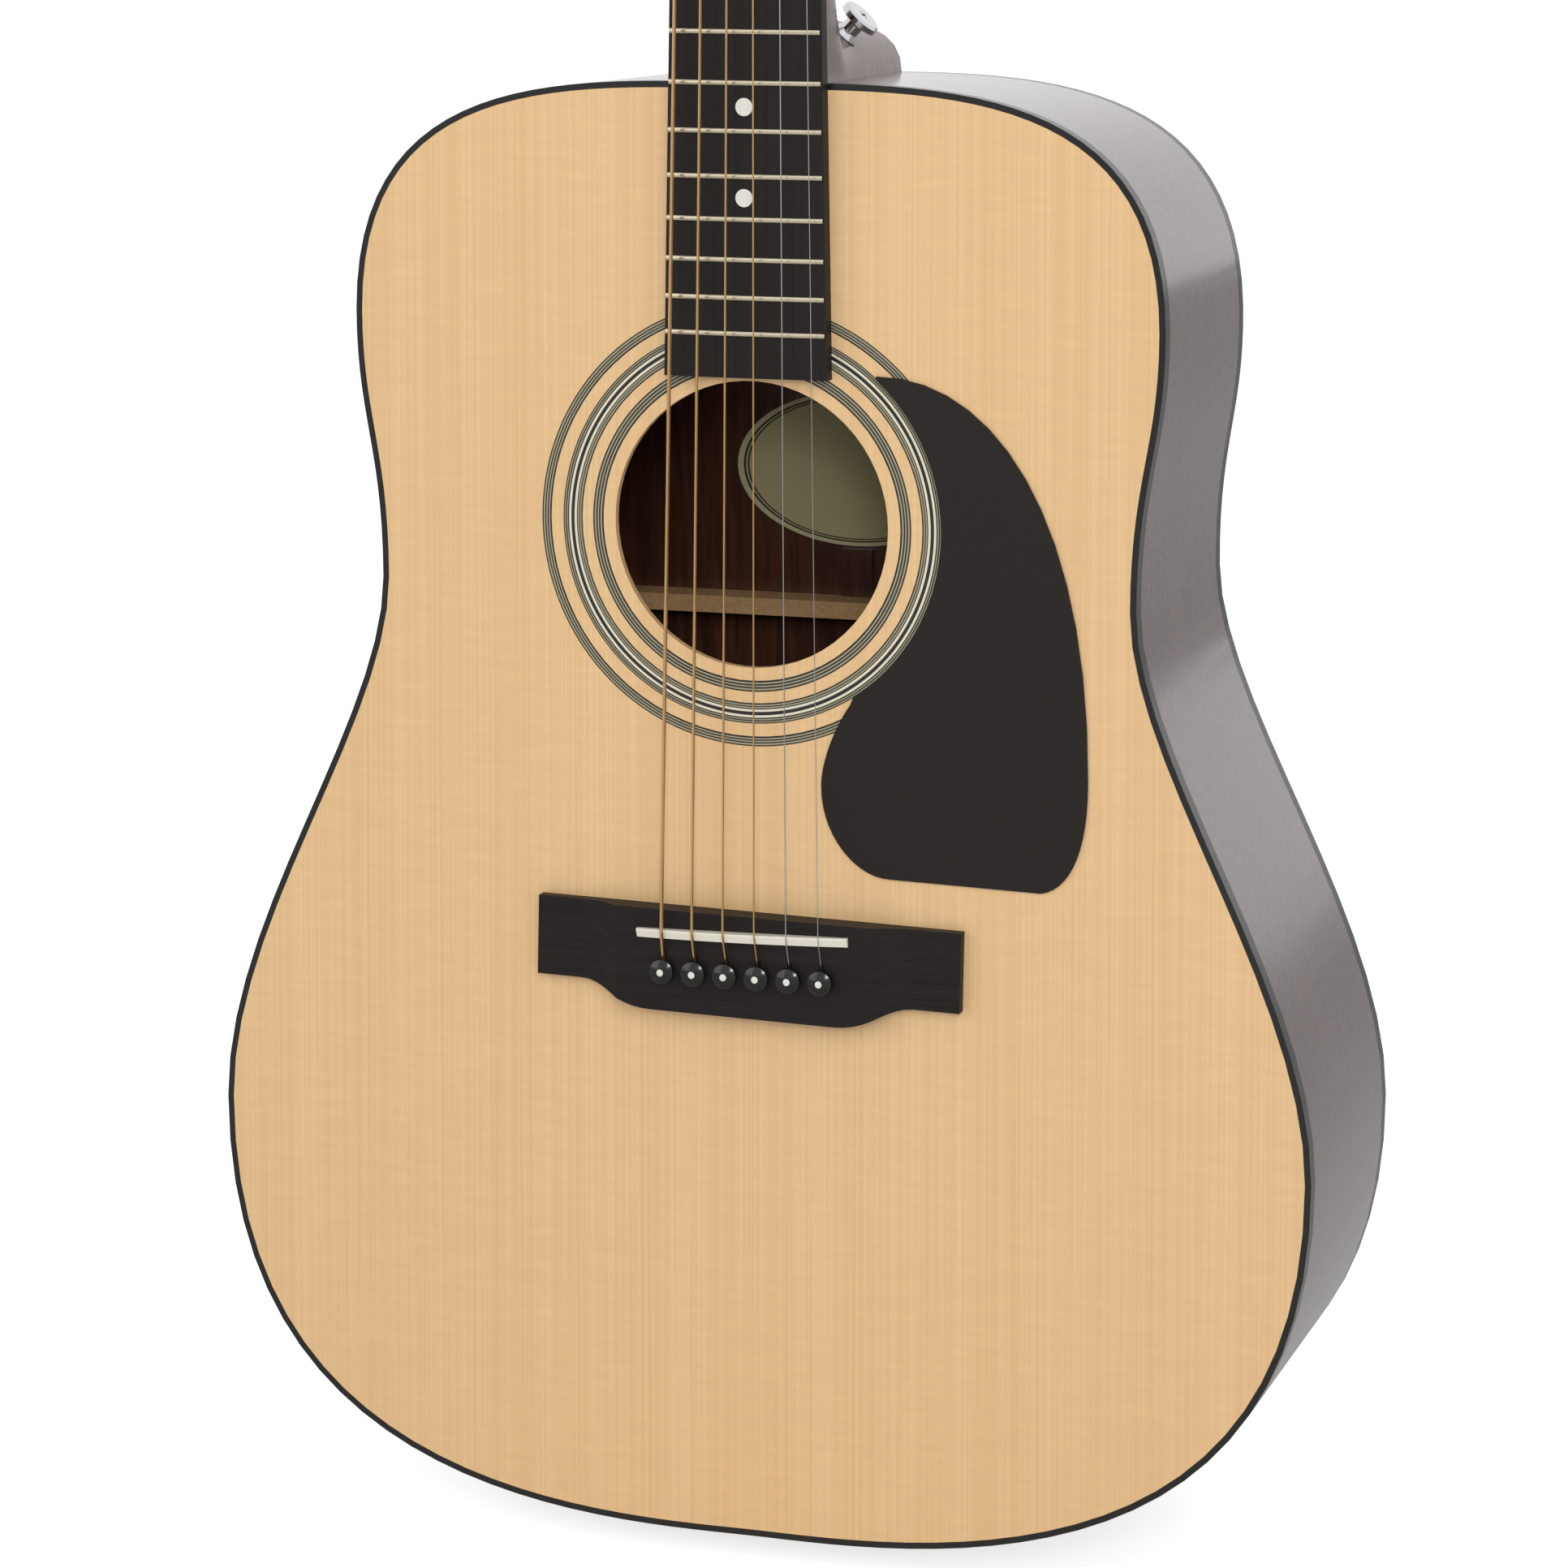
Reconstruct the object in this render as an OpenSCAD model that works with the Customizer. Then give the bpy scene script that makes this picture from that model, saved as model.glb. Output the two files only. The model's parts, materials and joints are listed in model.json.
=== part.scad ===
// Steel-string acoustic guitar, upright: X to the treble side, Y to the back, Z up along the neck.
// The origin is the middle of the rim of the tail strap button.
// In the body frame, which placed() sets, z = 0 is the tail of the body and y = 0 is the face of
// the soundboard. Bass is at negative x.

/* [Body] */
// Length of the body, from the tail to the neck joint
body_len = 501; // [485:1:515]
// Width across the lower bout
lower_bout_w = 393; // [375:1:410]
// Height of the widest place of the lower bout above the tail
lower_bout_z = 139; // [130:1:150]
// Width across the waist
waist_w = 271; // [260:1:285]
// Height of the waist above the tail
waist_z = 327; // [318:1:336]
// Width across the upper bout
upper_bout_w = 290; // [280:1:305]
// Height of the widest place of the upper bout above the tail
upper_bout_z = 420; // [410:1:428]
// Half the width of the flat top end, where the neck joins
top_flat = 21; // [18:1:24]
// Depth of the body at the neck
neck_depth = 102.5; // [98:0.5:108]
// Depth of the body at the tail
tail_depth = 124; // [118:0.5:128]
// Radius of the arch of the back
back_arch_r = 4572; // [4200:10:6000]
// Thickness of the sides, and width of the bindings that cap their edges
side_t = 2.2; // [1.8:0.1:3]
// Thickness of the soundboard
top_t = 2.8; // [2.4:0.1:3.4]
// Thickness of the back
back_t = 2.6; // [2.2:0.1:3.2]
// Height of the bindings
binding_h = 6; // [5:0.5:7]

/* [Blocks and linings] */
// Width of the kerfed linings
lining_w = 6.5; // [5:0.5:8]
// Height of the kerfed linings
lining_h = 15; // [12:1:18]
// Width of a kerf in the linings
kerf_w = 1.2; // [0.8:0.1:1.6]
// Web that a kerf leaves at the side
kerf_web = 1.5; // [1:0.1:2]
// Width of the neck block
neck_block_w = 80; // [70:1:90]
// Length of the neck block along the body
neck_block_l = 58; // [50:1:62]
// Width of the tail block
tail_block_w = 76; // [60:1:90]
// Length of the tail block along the body
tail_block_l = 20; // [16:1:25]
// Width of the dovetail at the joint face
dovetail_w = 20; // [16:1:24]
// How much wider the dovetail is at its root
dovetail_flare = 6; // [4:1:8]
// Length of the dovetail into the block
dovetail_l = 15; // [12:1:18]
// Depth of the dovetail from the soundboard face
dovetail_d = 84; // [70:1:90]

/* [Braces] */
// Width of the X braces
x_brace_w = 7.9; // [6:0.1:9]
// Height of the X braces
x_brace_h = 15; // [12:0.5:18]
// Angle of each X brace from the centre line
x_brace_angle = 49; // [46:1:52]
// Distance of the crossing of the X braces below the edge of the soundhole
x_cross_drop = 36; // [32:1:40]
// Width of the light braces of the soundboard
light_brace_w = 6.4; // [5:0.1:8]
// Height of the tone bars
tone_bar_h = 12; // [8:0.5:14]
// Height of the finger braces and of the soundhole braces
finger_brace_h = 7; // [5:0.5:9]
// Width of the upper transverse brace
upper_brace_w = 11; // [9:0.5:13]
// Height of the upper transverse brace
upper_brace_h = 17; // [14:0.5:20]
// Thickness of the bridge plate
plate_t = 2.5; // [2:0.1:3]
// Gap between the end of a brace and the lining
brace_gap = 0.4; // [0.3:0.1:1]
// Width of a back brace
back_brace_w = 6.2; // [5:0.1:10]
// Height of a back brace
back_brace_h = 12; // [10:0.5:16]
// Width of the centre strip of the back
strip_w = 12; // [10:0.5:16]
// Thickness of the centre strip of the back
strip_t = 2; // [1.5:0.1:2.5]
// Width of the paper label
label_w = 91; // [80:1:95]
// Height of the paper label
label_h = 57; // [52:1:62]

/* [Soundhole] */
// Diameter of the soundhole
hole_d = 98; // [94:1:102]
// Distance of the middle of the soundhole above the saddle line
hole_up = 138.6; // [136:0.1:141]
// Depth of the rosette rings in the soundboard
rosette_t = 1.3; // [1:0.1:1.6]
// Spruce left between the soundhole and the inner ring
ring_1_in = 4.4; // [3:0.1:5]
// Width of the inner ring
ring_1_w = 3.8; // [3:0.1:4.5]
// Spruce left between the inner and the middle ring
ring_2_gap = 3.9; // [3:0.1:5]
// Width of the middle ring
ring_2_w = 7; // [6:0.1:8]
// Spruce left between the middle and the outer ring
ring_3_gap = 4.4; // [3:0.1:5]
// Width of the outer ring
ring_3_w = 3.4; // [3:0.1:4]
// Thickness of the pickguard
guard_t = 0.9; // [0.6:0.1:1.4]

/* [Scale] */
// Length of the open string, from the nut to the saddle line
scale_len = 648; // [640:0.5:652]
// Number of frets
fret_count = 20; // [18:1:20]
// Fret that lies over the edge of the body
body_fret = 14; // [14:1:14]
// Spread of the strings at the nut, from the first to the sixth
nut_spread = 36.8; // [34:0.1:38]
// Spread of the strings at the saddle
saddle_spread = 56.2; // [54:0.1:58]
// Metal to metal gap between the turns on a post
turn_gap = 0.5; // [0.45:0.05:0.7]

/* [Fingerboard] */
// Thickness of the fingerboard at its middle
board_t = 6.4; // [5.8:0.1:7]
// Radius of the crown of the fingerboard
board_r = 355; // [300:5:420]
// Width of the fingerboard at the nut
nut_w = 43.2; // [42:0.1:45]
// Width of the fingerboard at its lower end
board_end_w = 58.2; // [57:0.1:60]
// Clearance between the end of the fingerboard and the soundhole
board_clear = 1.5; // [1:0.1:3]
// Width of a fret's crown
fret_w = 2; // [1.8:0.1:2.8]
// Thickness of a fret's tang
tang_t = 0.6; // [0.5:0.05:0.7]
// Depth of a fret's tang
tang_d = 1.6; // [1.2:0.1:2]
// Diameter of the position dots
dot_d = 6.1; // [5:0.1:7]
// Depth of the position dots
dot_t = 2; // [1.5:0.1:2.5]
// Diameter of the side dots
side_dot_d = 2; // [1.5:0.1:2.5]
// Length of the nut along the neck
nut_t = 6; // [5:0.1:7]
// Height of the strings above the frets at the nut
nut_gap = 0.45; // [0.3:0.05:0.6]

/* [Bridge] */
// Length of the bridge across the body
bridge_len = 152.4; // [145:0.1:156]
// Height of the bridge at its middle
bridge_h = 8.5; // [8:0.1:9.5]
// Height of the bridge at the ends of its wings
wing_h = 4; // [3:0.1:5]
// Length of the wings along the body
wing_l = 27.4; // [25:0.1:30]
// Length of the bridge along the body at its belly
belly_l = 35; // [33:0.1:38]
// Distance of the saddle behind the front edge of the bridge
saddle_in = 6.9; // [5.5:0.1:7.5]
// Turn of the bridge on the soundboard, bass wing towards the neck, in degrees
bridge_turn = 1.2; // [0:0.1:1.5]
// Distance of the bridge pins behind the saddle
pin_back = 13.6; // [12.5:0.1:16]
// Length of the saddle
saddle_len = 75.8; // [72:0.1:78]
// Thickness of the saddle
saddle_t = 3.1; // [2.4:0.1:3.4]
// Height of the saddle's crown above the soundboard
saddle_h = 12.2; // [11.5:0.1:13]
// Depth of the saddle slot below the top of the bridge
saddle_slot = 5; // [4:0.1:6]
// Shift of the saddle towards the tail from the scale length
saddle_shift = 1.2; // [0.5:0.1:4]
// Slant of the saddle, from the bass end to the treble end, in degrees
saddle_slant = 1.1; // [0:0.1:3]
// Spread of the bridge pins
pin_spread = 57; // [55:0.1:59]
// Radius of a pin's shank under its head
pin_r = 2.6; // [2.5:0.05:2.8]
// Taper of a pin's shank, as the loss of radius in a millimetre
pin_taper = 0.018; // [0.01:0.001:0.02]
// Radius of a pin's head
pin_head_r = 4.25; // [4:0.05:4.6]
// Length of a pin's shank
pin_len = 24; // [22:0.5:28]
// Radial clearance of a pin in its hole
pin_clear = 0.05; // [0.03:0.01:0.08]

/* [Neck] */
// Depth of the neck's wood at the body
neck_t_body = 17.5; // [16:0.1:19]
// Depth of the neck's wood at the nut
neck_t_nut = 14.6; // [14:0.1:16]
// Half width of the heel at the back
heel_end_w = 20; // [17:0.5:22]
// Length of the heel along the neck at the back
heel_l_back = 17; // [16:0.5:22]
// Length of the heel along the neck where it meets the shaft
heel_l_front = 23; // [22:0.5:30]
// Length of the blend between the heel and the shaft
heel_blend = 45; // [35:1:55]
// Backward tilt of the headstock, in degrees
head_angle = 13; // [10:0.5:15]
// Length of the headstock
head_l = 184; // [178:1:192]
// Half width of the headstock above its shoulders
head_w_low = 33; // [32:0.5:35]
// Half width of the headstock at its tip
head_w_tip = 36.5; // [35:0.5:38]
// Thickness of the headstock's wood
head_t = 13; // [12:0.1:14.5]
// Thickness of the headstock veneer
veneer_t = 1.8; // [1.2:0.1:2.2]
// Width of the truss rod channel
rod_w = 6.2; // [6:0.1:6.6]
// Depth of the truss rod channel
rod_h = 9.5; // [9:0.1:10]
// Radius of the truss rod's adjusting nut
rod_nut_r = 3.4; // [3:0.1:3.6]

/* [Tuners] */
// Height of the lowest tuner above the nut, along the headstock
tuner_z0 = 46; // [44:1:50]
// Distance between neighbouring tuners
tuner_step = 42; // [40:1:44]
// Distance of a post from the edge of the headstock
post_in = 12; // [11.5:0.1:12.5]
// Radius of a post
post_r = 3; // [2.8:0.05:3.2]
// Height of a post above the veneer
post_h = 11; // [10.5:0.1:12]
// Height of the string hole above the veneer
post_hole_h = 8.4; // [8.2:0.1:8.6]
// Module of the worm gear
gear_m = 0.7; // [0.66:0.01:0.72]
// Teeth of the wheel on a post
gear_teeth = 14; // [14:1:14]
// Pitch radius of the worm
worm_r = 2.5; // [2.4:0.05:2.6]
// Width of the wheel
gear_w = 3.2; // [2.6:0.1:3.6]
// Radius of the knob's shaft
knob_shaft_r = 2; // [1.8:0.05:2.2]
// Radial clearance of the turning shafts
run_clear = 0.03; // [0.02:0.01:0.06]
// Gap of the winding from the post
wind_gap = 0.3; // [0.3:0.05:0.5]

/* [Strap buttons] */
// Radius of a strap button's rim
button_r = 7.25; // [6.5:0.05:8]
// Radius of a strap button's waist
button_waist_r = 3.4; // [3:0.1:4]
// Height of a strap button
button_h = 11; // [10:0.1:13]
// Width of the straight band of a strap button's rim
button_band = 2; // [1.6:0.1:2.4]
// Radius of the screws of the strap buttons
strap_screw_r = 1.7; // [1.5:0.05:2]
// Depth of the heel's strap button behind the soundboard face
heel_button_y = 43; // [35:1:60]

/* [Hidden] */
// Reach of a cutting shape past what it cuts
over = 1;
// Side of a shape that is larger than the guitar
huge = 700;
string_count = 6;
// Diameters of the strings from the lowest to the highest, and their turns on the posts
string_d = [1.35, 1.07, 0.81, 0.61, 0.41, 0.3];
string_turns = [2, 2, 2, 2.5, 3, 3];

// Steps of the body outline in each of its four stretches
outline_steps = [26, 14, 14, 24];
// Steps of the kerfed linings in the same stretches
kerf_steps = [15, 9, 9, 13];
// Lengths of the handles that shape the body outline
tail_pull = 50;
lower_pull_down = 147;
lower_pull_up = 64;
waist_pull_down = 50;
waist_pull_up = 45;
upper_pull_down = 38;
upper_pull_up = 77;
shoulder_pull = 58;

// Centre of the sphere on which the back is arched, so that it meets both depths
arch_chord = norm([body_len, tail_depth - neck_depth]);
arch_h = sqrt(pow(back_arch_r, 2) - pow(arch_chord / 2, 2));
arch_y = (tail_depth + neck_depth) / 2 - arch_h * body_len / arch_chord;
arch_z = body_len / 2 - arch_h * (tail_depth - neck_depth) / arch_chord;
// Turns of that sphere for the back and for its binding
plate_turn = [0.54, 0, 0.65];
rim_turn = [0.45, 0, 0.5];

// Places along the strings
saddle_line = body_len - scale_len * pow(2, -body_fret / 12);
nut_z = saddle_line + scale_len;
saddle_z = saddle_line - saddle_shift;
hole_z = saddle_line + hole_up;
hole_r = hole_d / 2;
board_end_z = hole_z + hole_r + board_clear;
bridge_front = saddle_z + saddle_in;
pin_z = saddle_z - pin_back;
fret_h = fret_w / 2;

// Radii of the rosette rings
ring_1_r = hole_r + ring_1_in;
ring_2_r = ring_1_r + ring_1_w + ring_2_gap;
ring_3_r = ring_2_r + ring_2_w + ring_3_gap;

// Worm gear: distance of the shafts, thread and tooth sizes
wheel_r = gear_m * gear_teeth / 2;
shaft_dist = wheel_r + worm_r;
worm_lead = PI * gear_m;
thread_top = 0.6;
thread_root = 0.75;
thread_turns = 3.2;
thread_steps = 14;
thread_half = 0.34;
tooth_half = 0.36;
flank_slope = 0.36;
gear_mid = 3.8;
housing_h = 9.6;
chamber_r = wheel_r + thread_top + 0.6;
worm_bore_r = worm_r + thread_top + 0.25;
bushing_r = 4.8;
bushing_flange_r = 6.8;
bushing_l = 9;

// Strap button stations from its seat
button_base_r = 4.8;
button_base_t = 1.5;
rim_top = button_h - 0.8;
rim_mid = rim_top - button_band / 2;
button_seat_cut = 1.2;

// The part's origin lies in the rim of the tail strap button
tail_z = rim_mid;
face_y = -tail_depth / 2;

// Pin head: its gap above the bridge, its band and its dome
head_under = 1.6;
head_band = 1.1;
head_dome = 1.1;
// Flute of a pin for the string
flute_half = 1;
flute_floor = 0.9;
// The string in front of a pin: its place, its bend over the edge of the hole and the ramp
string_in = 1.7;
bend_r = 2;
bend_depth = 6.6;
ramp_half = 0.9;
// Ball end of a string, against the bridge plate in front of the pin
ball_r = 1.9;
ball_half = 1.7;
ball_in = 4.25;
// Peak of the saddle in front of its middle, and the fall behind and before it
saddle_peak = 0.9;
saddle_fall = 0.95;
saddle_front_fall = 0.06;
// Clearance of a string over the saddle and the nut
string_rest = 0.02;

module placed() {
    translate([0, face_y, tail_z]) children();
}

// A flat shape in x and z, made solid from depth y0 to depth y1
module slab(y0, y1) {
    translate([0, y1, 0]) rotate([90, 0, 0]) linear_extrude(y1 - y0) children();
}

// A round bar along the depth
module bar_y(r, y0, y1, fn = 72) {
    translate([0, y0, 0]) rotate([-90, 0, 0]) cylinder(r = r, h = y1 - y0, $fn = fn);
}

function bez(p, t) = pow(1 - t, 3) * p[0] + 3 * pow(1 - t, 2) * t * p[1]
    + 3 * (1 - t) * t * t * p[2] + pow(t, 3) * p[3];
function bez_dir(p, t) = pow(1 - t, 2) * (p[1] - p[0]) + 2 * (1 - t) * t * (p[2] - p[1])
    + t * t * (p[3] - p[2]);
function mirrored(half) = concat(half, [for (i = [len(half) - 1:-1:0]) [-half[i][0], half[i][1]]]);

// Treble half of the body outline: tail, lower bout, waist, upper bout and shoulder
outline_curves = [
    [[0, 0], [tail_pull, 0], [lower_bout_w / 2, lower_bout_z - lower_pull_down],
        [lower_bout_w / 2, lower_bout_z]],
    [[lower_bout_w / 2, lower_bout_z], [lower_bout_w / 2, lower_bout_z + lower_pull_up],
        [waist_w / 2, waist_z - waist_pull_down], [waist_w / 2, waist_z]],
    [[waist_w / 2, waist_z], [waist_w / 2, waist_z + waist_pull_up],
        [upper_bout_w / 2, upper_bout_z - upper_pull_down], [upper_bout_w / 2, upper_bout_z]],
    [[upper_bout_w / 2, upper_bout_z], [upper_bout_w / 2, upper_bout_z + upper_pull_up],
        [top_flat + shoulder_pull, body_len], [top_flat, body_len]]
];
// A point of the outline, moved inwards by d
function rim(curve, t, d) =
    let (v = bez_dir(curve, t), n = [-v[1], v[0]] / norm(v)) bez(curve, t) + d * n;
function half_rim(d) = [for (s = [0:3]) for (i = [0:outline_steps[s] - 1])
    rim(outline_curves[s], i / outline_steps[s], d)];
function closed_rim(half, d) =
    concat(half, [[top_flat, body_len - d], [-top_flat, body_len - d]],
        [for (i = [len(half) - 1:-1:1]) [-half[i][0], half[i][1]]]);
function outline(d) = closed_rim(half_rim(d), d);

// The kerfed edge of a lining: each of its steps has one kerf in its middle
function kerf_points(curve, t0, t1, d) =
    let (mid = (t0 + t1) / 2, cut = kerf_w / 2 / (3 * norm(bez_dir(curve, mid))))
    [rim(curve, t0, d + lining_w), rim(curve, mid - cut, d + lining_w),
        rim(curve, mid - cut, d + kerf_web), rim(curve, mid + cut, d + kerf_web),
        rim(curve, mid + cut, d + lining_w)];
function kerfed_outline(d) = closed_rim([for (s = [0:3]) for (i = [0:kerf_steps[s] - 1])
    each kerf_points(outline_curves[s], i / kerf_steps[s], (i + 1) / kerf_steps[s], d)],
    d + lining_w);

// The ball that the arch of the back follows, drawn smaller by its depth under the back's face
// and turned about its centre
module arch_ball(under, turn = [0, 0, 90]) {
    translate([0, arch_y, arch_z]) rotate(turn) sphere(r = back_arch_r - under, $fn = 360);
}

module rim_band(d0, d1, y0, y1) {
    slab(y0, y1) difference() {
        polygon(outline(d0));
        polygon(outline(d1));
    }
}

// The room inside the sides, from the soundboard to a depth under the back's face
module inside(y0, under) {
    intersection() {
        slab(y0, tail_depth + lining_h) polygon(outline(side_t));
        arch_ball(under);
    }
}

// A box that spans the depth of the body
module body_box(x0, x1, z0, z1) {
    translate([x0, -over, z0]) cube([x1 - x0, tail_depth + 2 * lining_h, z1 - z0]);
}

// The dovetail, from depth y0, carried a little past the joint face
module dovetail(y0) {
    root = dovetail_w / 2 + dovetail_flare / 2;
    nose = dovetail_w / 2 - over * dovetail_flare / 2 / dovetail_l;
    slab(y0, dovetail_d) polygon([[-nose, body_len + over], [-root, body_len - dovetail_l],
        [root, body_len - dovetail_l], [nose, body_len + over]]);
}

module tail_screw_hole() {
    translate([0, tail_depth / 2, -over]) cylinder(r = strap_screw_r, h = 30, $fn = 32);
}

// One ring of the rosette, from depth y0
module rosette_ring(r, w, y0) {
    translate([0, 0, hole_z]) difference() {
        bar_y(r + w, y0, rosette_t, 180);
        bar_y(r, y0 - over, rosette_t + over, 180);
    }
}

module rosette_rings(y0) {
    rosette_ring(ring_1_r, ring_1_w, y0);
    rosette_ring(ring_2_r, ring_2_w, y0);
    rosette_ring(ring_3_r, ring_3_w, y0);
}

function pin_x(i) = (i - 2.5) / 5 * pin_spread;
function pin_r_at(y) = pin_r - pin_taper * (y + bridge_h);

// The reamed holes for the bridge pins, through bridge, soundboard and plate
module pin_holes() {
    low = top_t + plate_t + over;
    for (i = [0:string_count - 1])
        translate([pin_x(i), -bridge_h - over, pin_z]) rotate([-90, 0, 0])
            cylinder(r1 = pin_r_at(-bridge_h - over) + pin_clear, r2 = pin_r_at(low) + pin_clear,
                h = bridge_h + over + low, $fn = 48);
}

module soundboard() {
    color("burlywood") placed() difference() {
        slab(0, top_t) polygon(outline(side_t));
        translate([0, 0, hole_z]) bar_y(hole_r, -over, top_t + over, 180);
        rosette_rings(-over);
        pin_holes();
        dovetail(-over);
    }
}

module back() {
    color("saddlebrown") placed() difference() {
        intersection() {
            slab(neck_depth / 2, tail_depth + lining_h) polygon(outline(side_t));
            arch_ball(0, plate_turn);
        }
        arch_ball(back_t, plate_turn);
    }
}

module side(s) {
    color("rosybrown") placed() difference() {
        intersection() {
            rim_band(0, side_t, binding_h, tail_depth + lining_h);
            arch_ball(binding_h);
            if (s > 0) body_box(0, huge, -over, huge);
            else body_box(-huge, 0, -over, huge);
        }
        dovetail(-over);
        tail_screw_hole();
    }
}

module neck_block() {
    color("sienna") placed() difference() {
        intersection() {
            inside(top_t, back_t);
            body_box(-neck_block_w / 2, neck_block_w / 2, body_len - side_t - neck_block_l, huge);
        }
        dovetail(-over);
    }
}

module tail_block() {
    color("sienna") placed() difference() {
        intersection() {
            inside(top_t, back_t);
            body_box(-tail_block_w / 2, tail_block_w / 2, -over, side_t + tail_block_l);
        }
        tail_screw_hole();
    }
}

module block_gaps() {
    body_box(-neck_block_w / 2, neck_block_w / 2, body_len / 2, huge);
    body_box(-tail_block_w / 2, tail_block_w / 2, -over, body_len / 2);
}

module lining_ring(y0, y1) {
    slab(y0, y1) difference() {
        polygon(outline(side_t));
        polygon(kerfed_outline(side_t));
    }
}

module top_lining() {
    color("tan") placed() difference() {
        lining_ring(top_t, top_t + lining_h);
        block_gaps();
    }
}

module back_lining() {
    color("tan") placed() difference() {
        intersection() {
            lining_ring(neck_depth / 2, tail_depth + lining_h);
            arch_ball(back_t, plate_turn);
        }
        arch_ball(back_t + lining_h, plate_turn);
        block_gaps();
    }
}

module top_binding() {
    color("black") placed() difference() {
        rim_band(0, side_t, 0, binding_h);
        dovetail(-over);
    }
}

module back_binding() {
    color("black") placed() difference() {
        intersection() {
            rim_band(0, side_t, neck_depth / 2, tail_depth + lining_h);
            arch_ball(0, rim_turn);
        }
        arch_ball(binding_h, rim_turn);
    }
}

module rosette() {
    color("dimgray") placed() rosette_rings(0);
}

guard_curves = [
    [[45, 403], [85, 404], [119.5, 360], [119.3, 269]],
    [[119.3, 269], [119.3, 244], [112, 231], [101, 231]],
    [[50, 232.5], [38, 232.5], [25.6, 246], [25.6, 263]],
    [[25.6, 263], [25.6, 272], [31, 285], [37.4, 293.4]]
];
guard_hole_r = ring_2_r + ring_2_w - 0.2;
guard_from = -57;
guard_to = 49;

module pickguard() {
    ring = [for (i = [0:24]) let (a = guard_from + (guard_to - guard_from) * i / 24)
        [guard_hole_r * cos(a), hole_z + guard_hole_r * sin(a)]];
    edge = [for (c = guard_curves) for (i = [0:13]) bez(c, i / 14)];
    color("black") placed() slab(-guard_t, 0) polygon(concat(ring, edge));
}

// Plan of the bridge: straight front, wings, and a belly behind the pins
belly_curve = [[60, -wing_l], [50, -wing_l], [46, -belly_l], [33, -belly_l]];
function bridge_half() = concat([[bridge_len / 2, 0], [bridge_len / 2, -wing_l]],
    [for (i = [0:10]) bez(belly_curve, i / 10)]);
scoop_in = 46;
scoop_out = 62;
scoop_l = belly_l + 5;
scoop_r = (pow(scoop_out - scoop_in, 2) + pow(bridge_h - wing_h, 2)) / 2 / (bridge_h - wing_h);

module string_ramp(i) {
    floor_line = [[2.2, -6.1], [2.7, -7.2], [3.25, -7.65], [6.2, -8.6]];
    translate([pin_x(i) + ramp_half, 0, pin_z]) rotate([0, -90, 0]) linear_extrude(2 * ramp_half)
        polygon(concat(floor_line, [[6.2, -bridge_h - over], [2.2, -bridge_h - over]]));
}

module saddle_slot_box() {
    translate([0, 0, saddle_z]) rotate([0, -saddle_slant, 0])
        translate([-saddle_len / 2, -bridge_h - over, -saddle_t / 2])
            cube([saddle_len, saddle_slot + over, saddle_t]);
}

module bridge() {
    color("saddlebrown") placed() difference() {
        slab(-bridge_h, 0) translate([0, saddle_z]) rotate(-bridge_turn)
            translate([0, saddle_in]) polygon(mirrored(bridge_half()));
        for (s = [-1, 1]) {
            translate([s * scoop_out, -wing_h - scoop_r, bridge_front - scoop_l])
                cylinder(r = scoop_r, h = 2 * scoop_l, $fn = 180);
            translate([s > 0 ? scoop_out : -huge, -bridge_h - over, bridge_front - scoop_l])
                cube([huge - (s > 0 ? 0 : scoop_out), bridge_h - wing_h + over, 2 * scoop_l]);
        }
        saddle_slot_box();
        pin_holes();
        for (i = [0:string_count - 1]) string_ramp(i);
    }
}

// The saddle: a bar with a crowned, peaked top, slanted in its slot
module saddle() {
    half = saddle_t / 2;
    color("ivory") placed() translate([0, 0, saddle_z]) rotate([0, -saddle_slant, 0])
        intersection() {
            translate([0, board_r - saddle_h, 0]) rotate([0, 0, -100])
                rotate_extrude(angle = 20, $fn = 360) polygon([
                    [board_r - 2 * saddle_h, -half], [board_r - saddle_fall, -half],
                    [board_r, saddle_peak], [board_r - saddle_front_fall, half],
                    [board_r - 2 * saddle_h, half]]);
            translate([-saddle_len / 2, -saddle_h - over, -saddle_t])
                cube([saddle_len, saddle_h + over - bridge_h + saddle_slot, 2 * saddle_t]);
        }
}

// A pin: tapered shank with a flute toward the saddle, collar and domed head
module bridge_pin(i) {
    under = -bridge_h - head_under;
    tip = -bridge_h + pin_len;
    dome_r = (pow(pin_head_r, 2) + pow(head_dome, 2)) / 2 / head_dome;
    color("white") placed() translate([pin_x(i), 0, pin_z]) difference() {
        union() {
            translate([0, under, 0]) rotate([-90, 0, 0])
                cylinder(r1 = pin_r_at(under), r2 = pin_r_at(tip), h = tip - under, $fn = 48);
            bar_y(pin_head_r, under - head_band, under);
            intersection() {
                bar_y(pin_head_r, under - head_band - head_dome, under - head_band / 2);
                translate([0, under - head_band - head_dome + dome_r, 0])
                    sphere(r = dome_r, $fn = 90);
            }
        }
        translate([-flute_half, under, flute_floor]) cube([2 * flute_half, pin_len + huge, over * 3]);
    }
}

module glued_area() {
    slab(0, tail_depth) polygon(outline(side_t + lining_w + brace_gap));
}

x_cross_z = hole_z - hole_r - x_cross_drop;
lap_y = top_t + x_brace_h / 2;

// A bar across the soundboard between two points, with a given side profile
module laid_bar(p, q, w, h, end_h) {
    v = q - p;
    l = norm(v);
    translate([p[0], top_t, p[1]]) rotate([0, -atan2(v[1], v[0]), 0])
        translate([0, 0, -w / 2]) linear_extrude(w)
            polygon([[0, 0], [0, end_h], [l * 0.15, h], [l * 0.85, h], [l, end_h], [l, 0]]);
}

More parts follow.
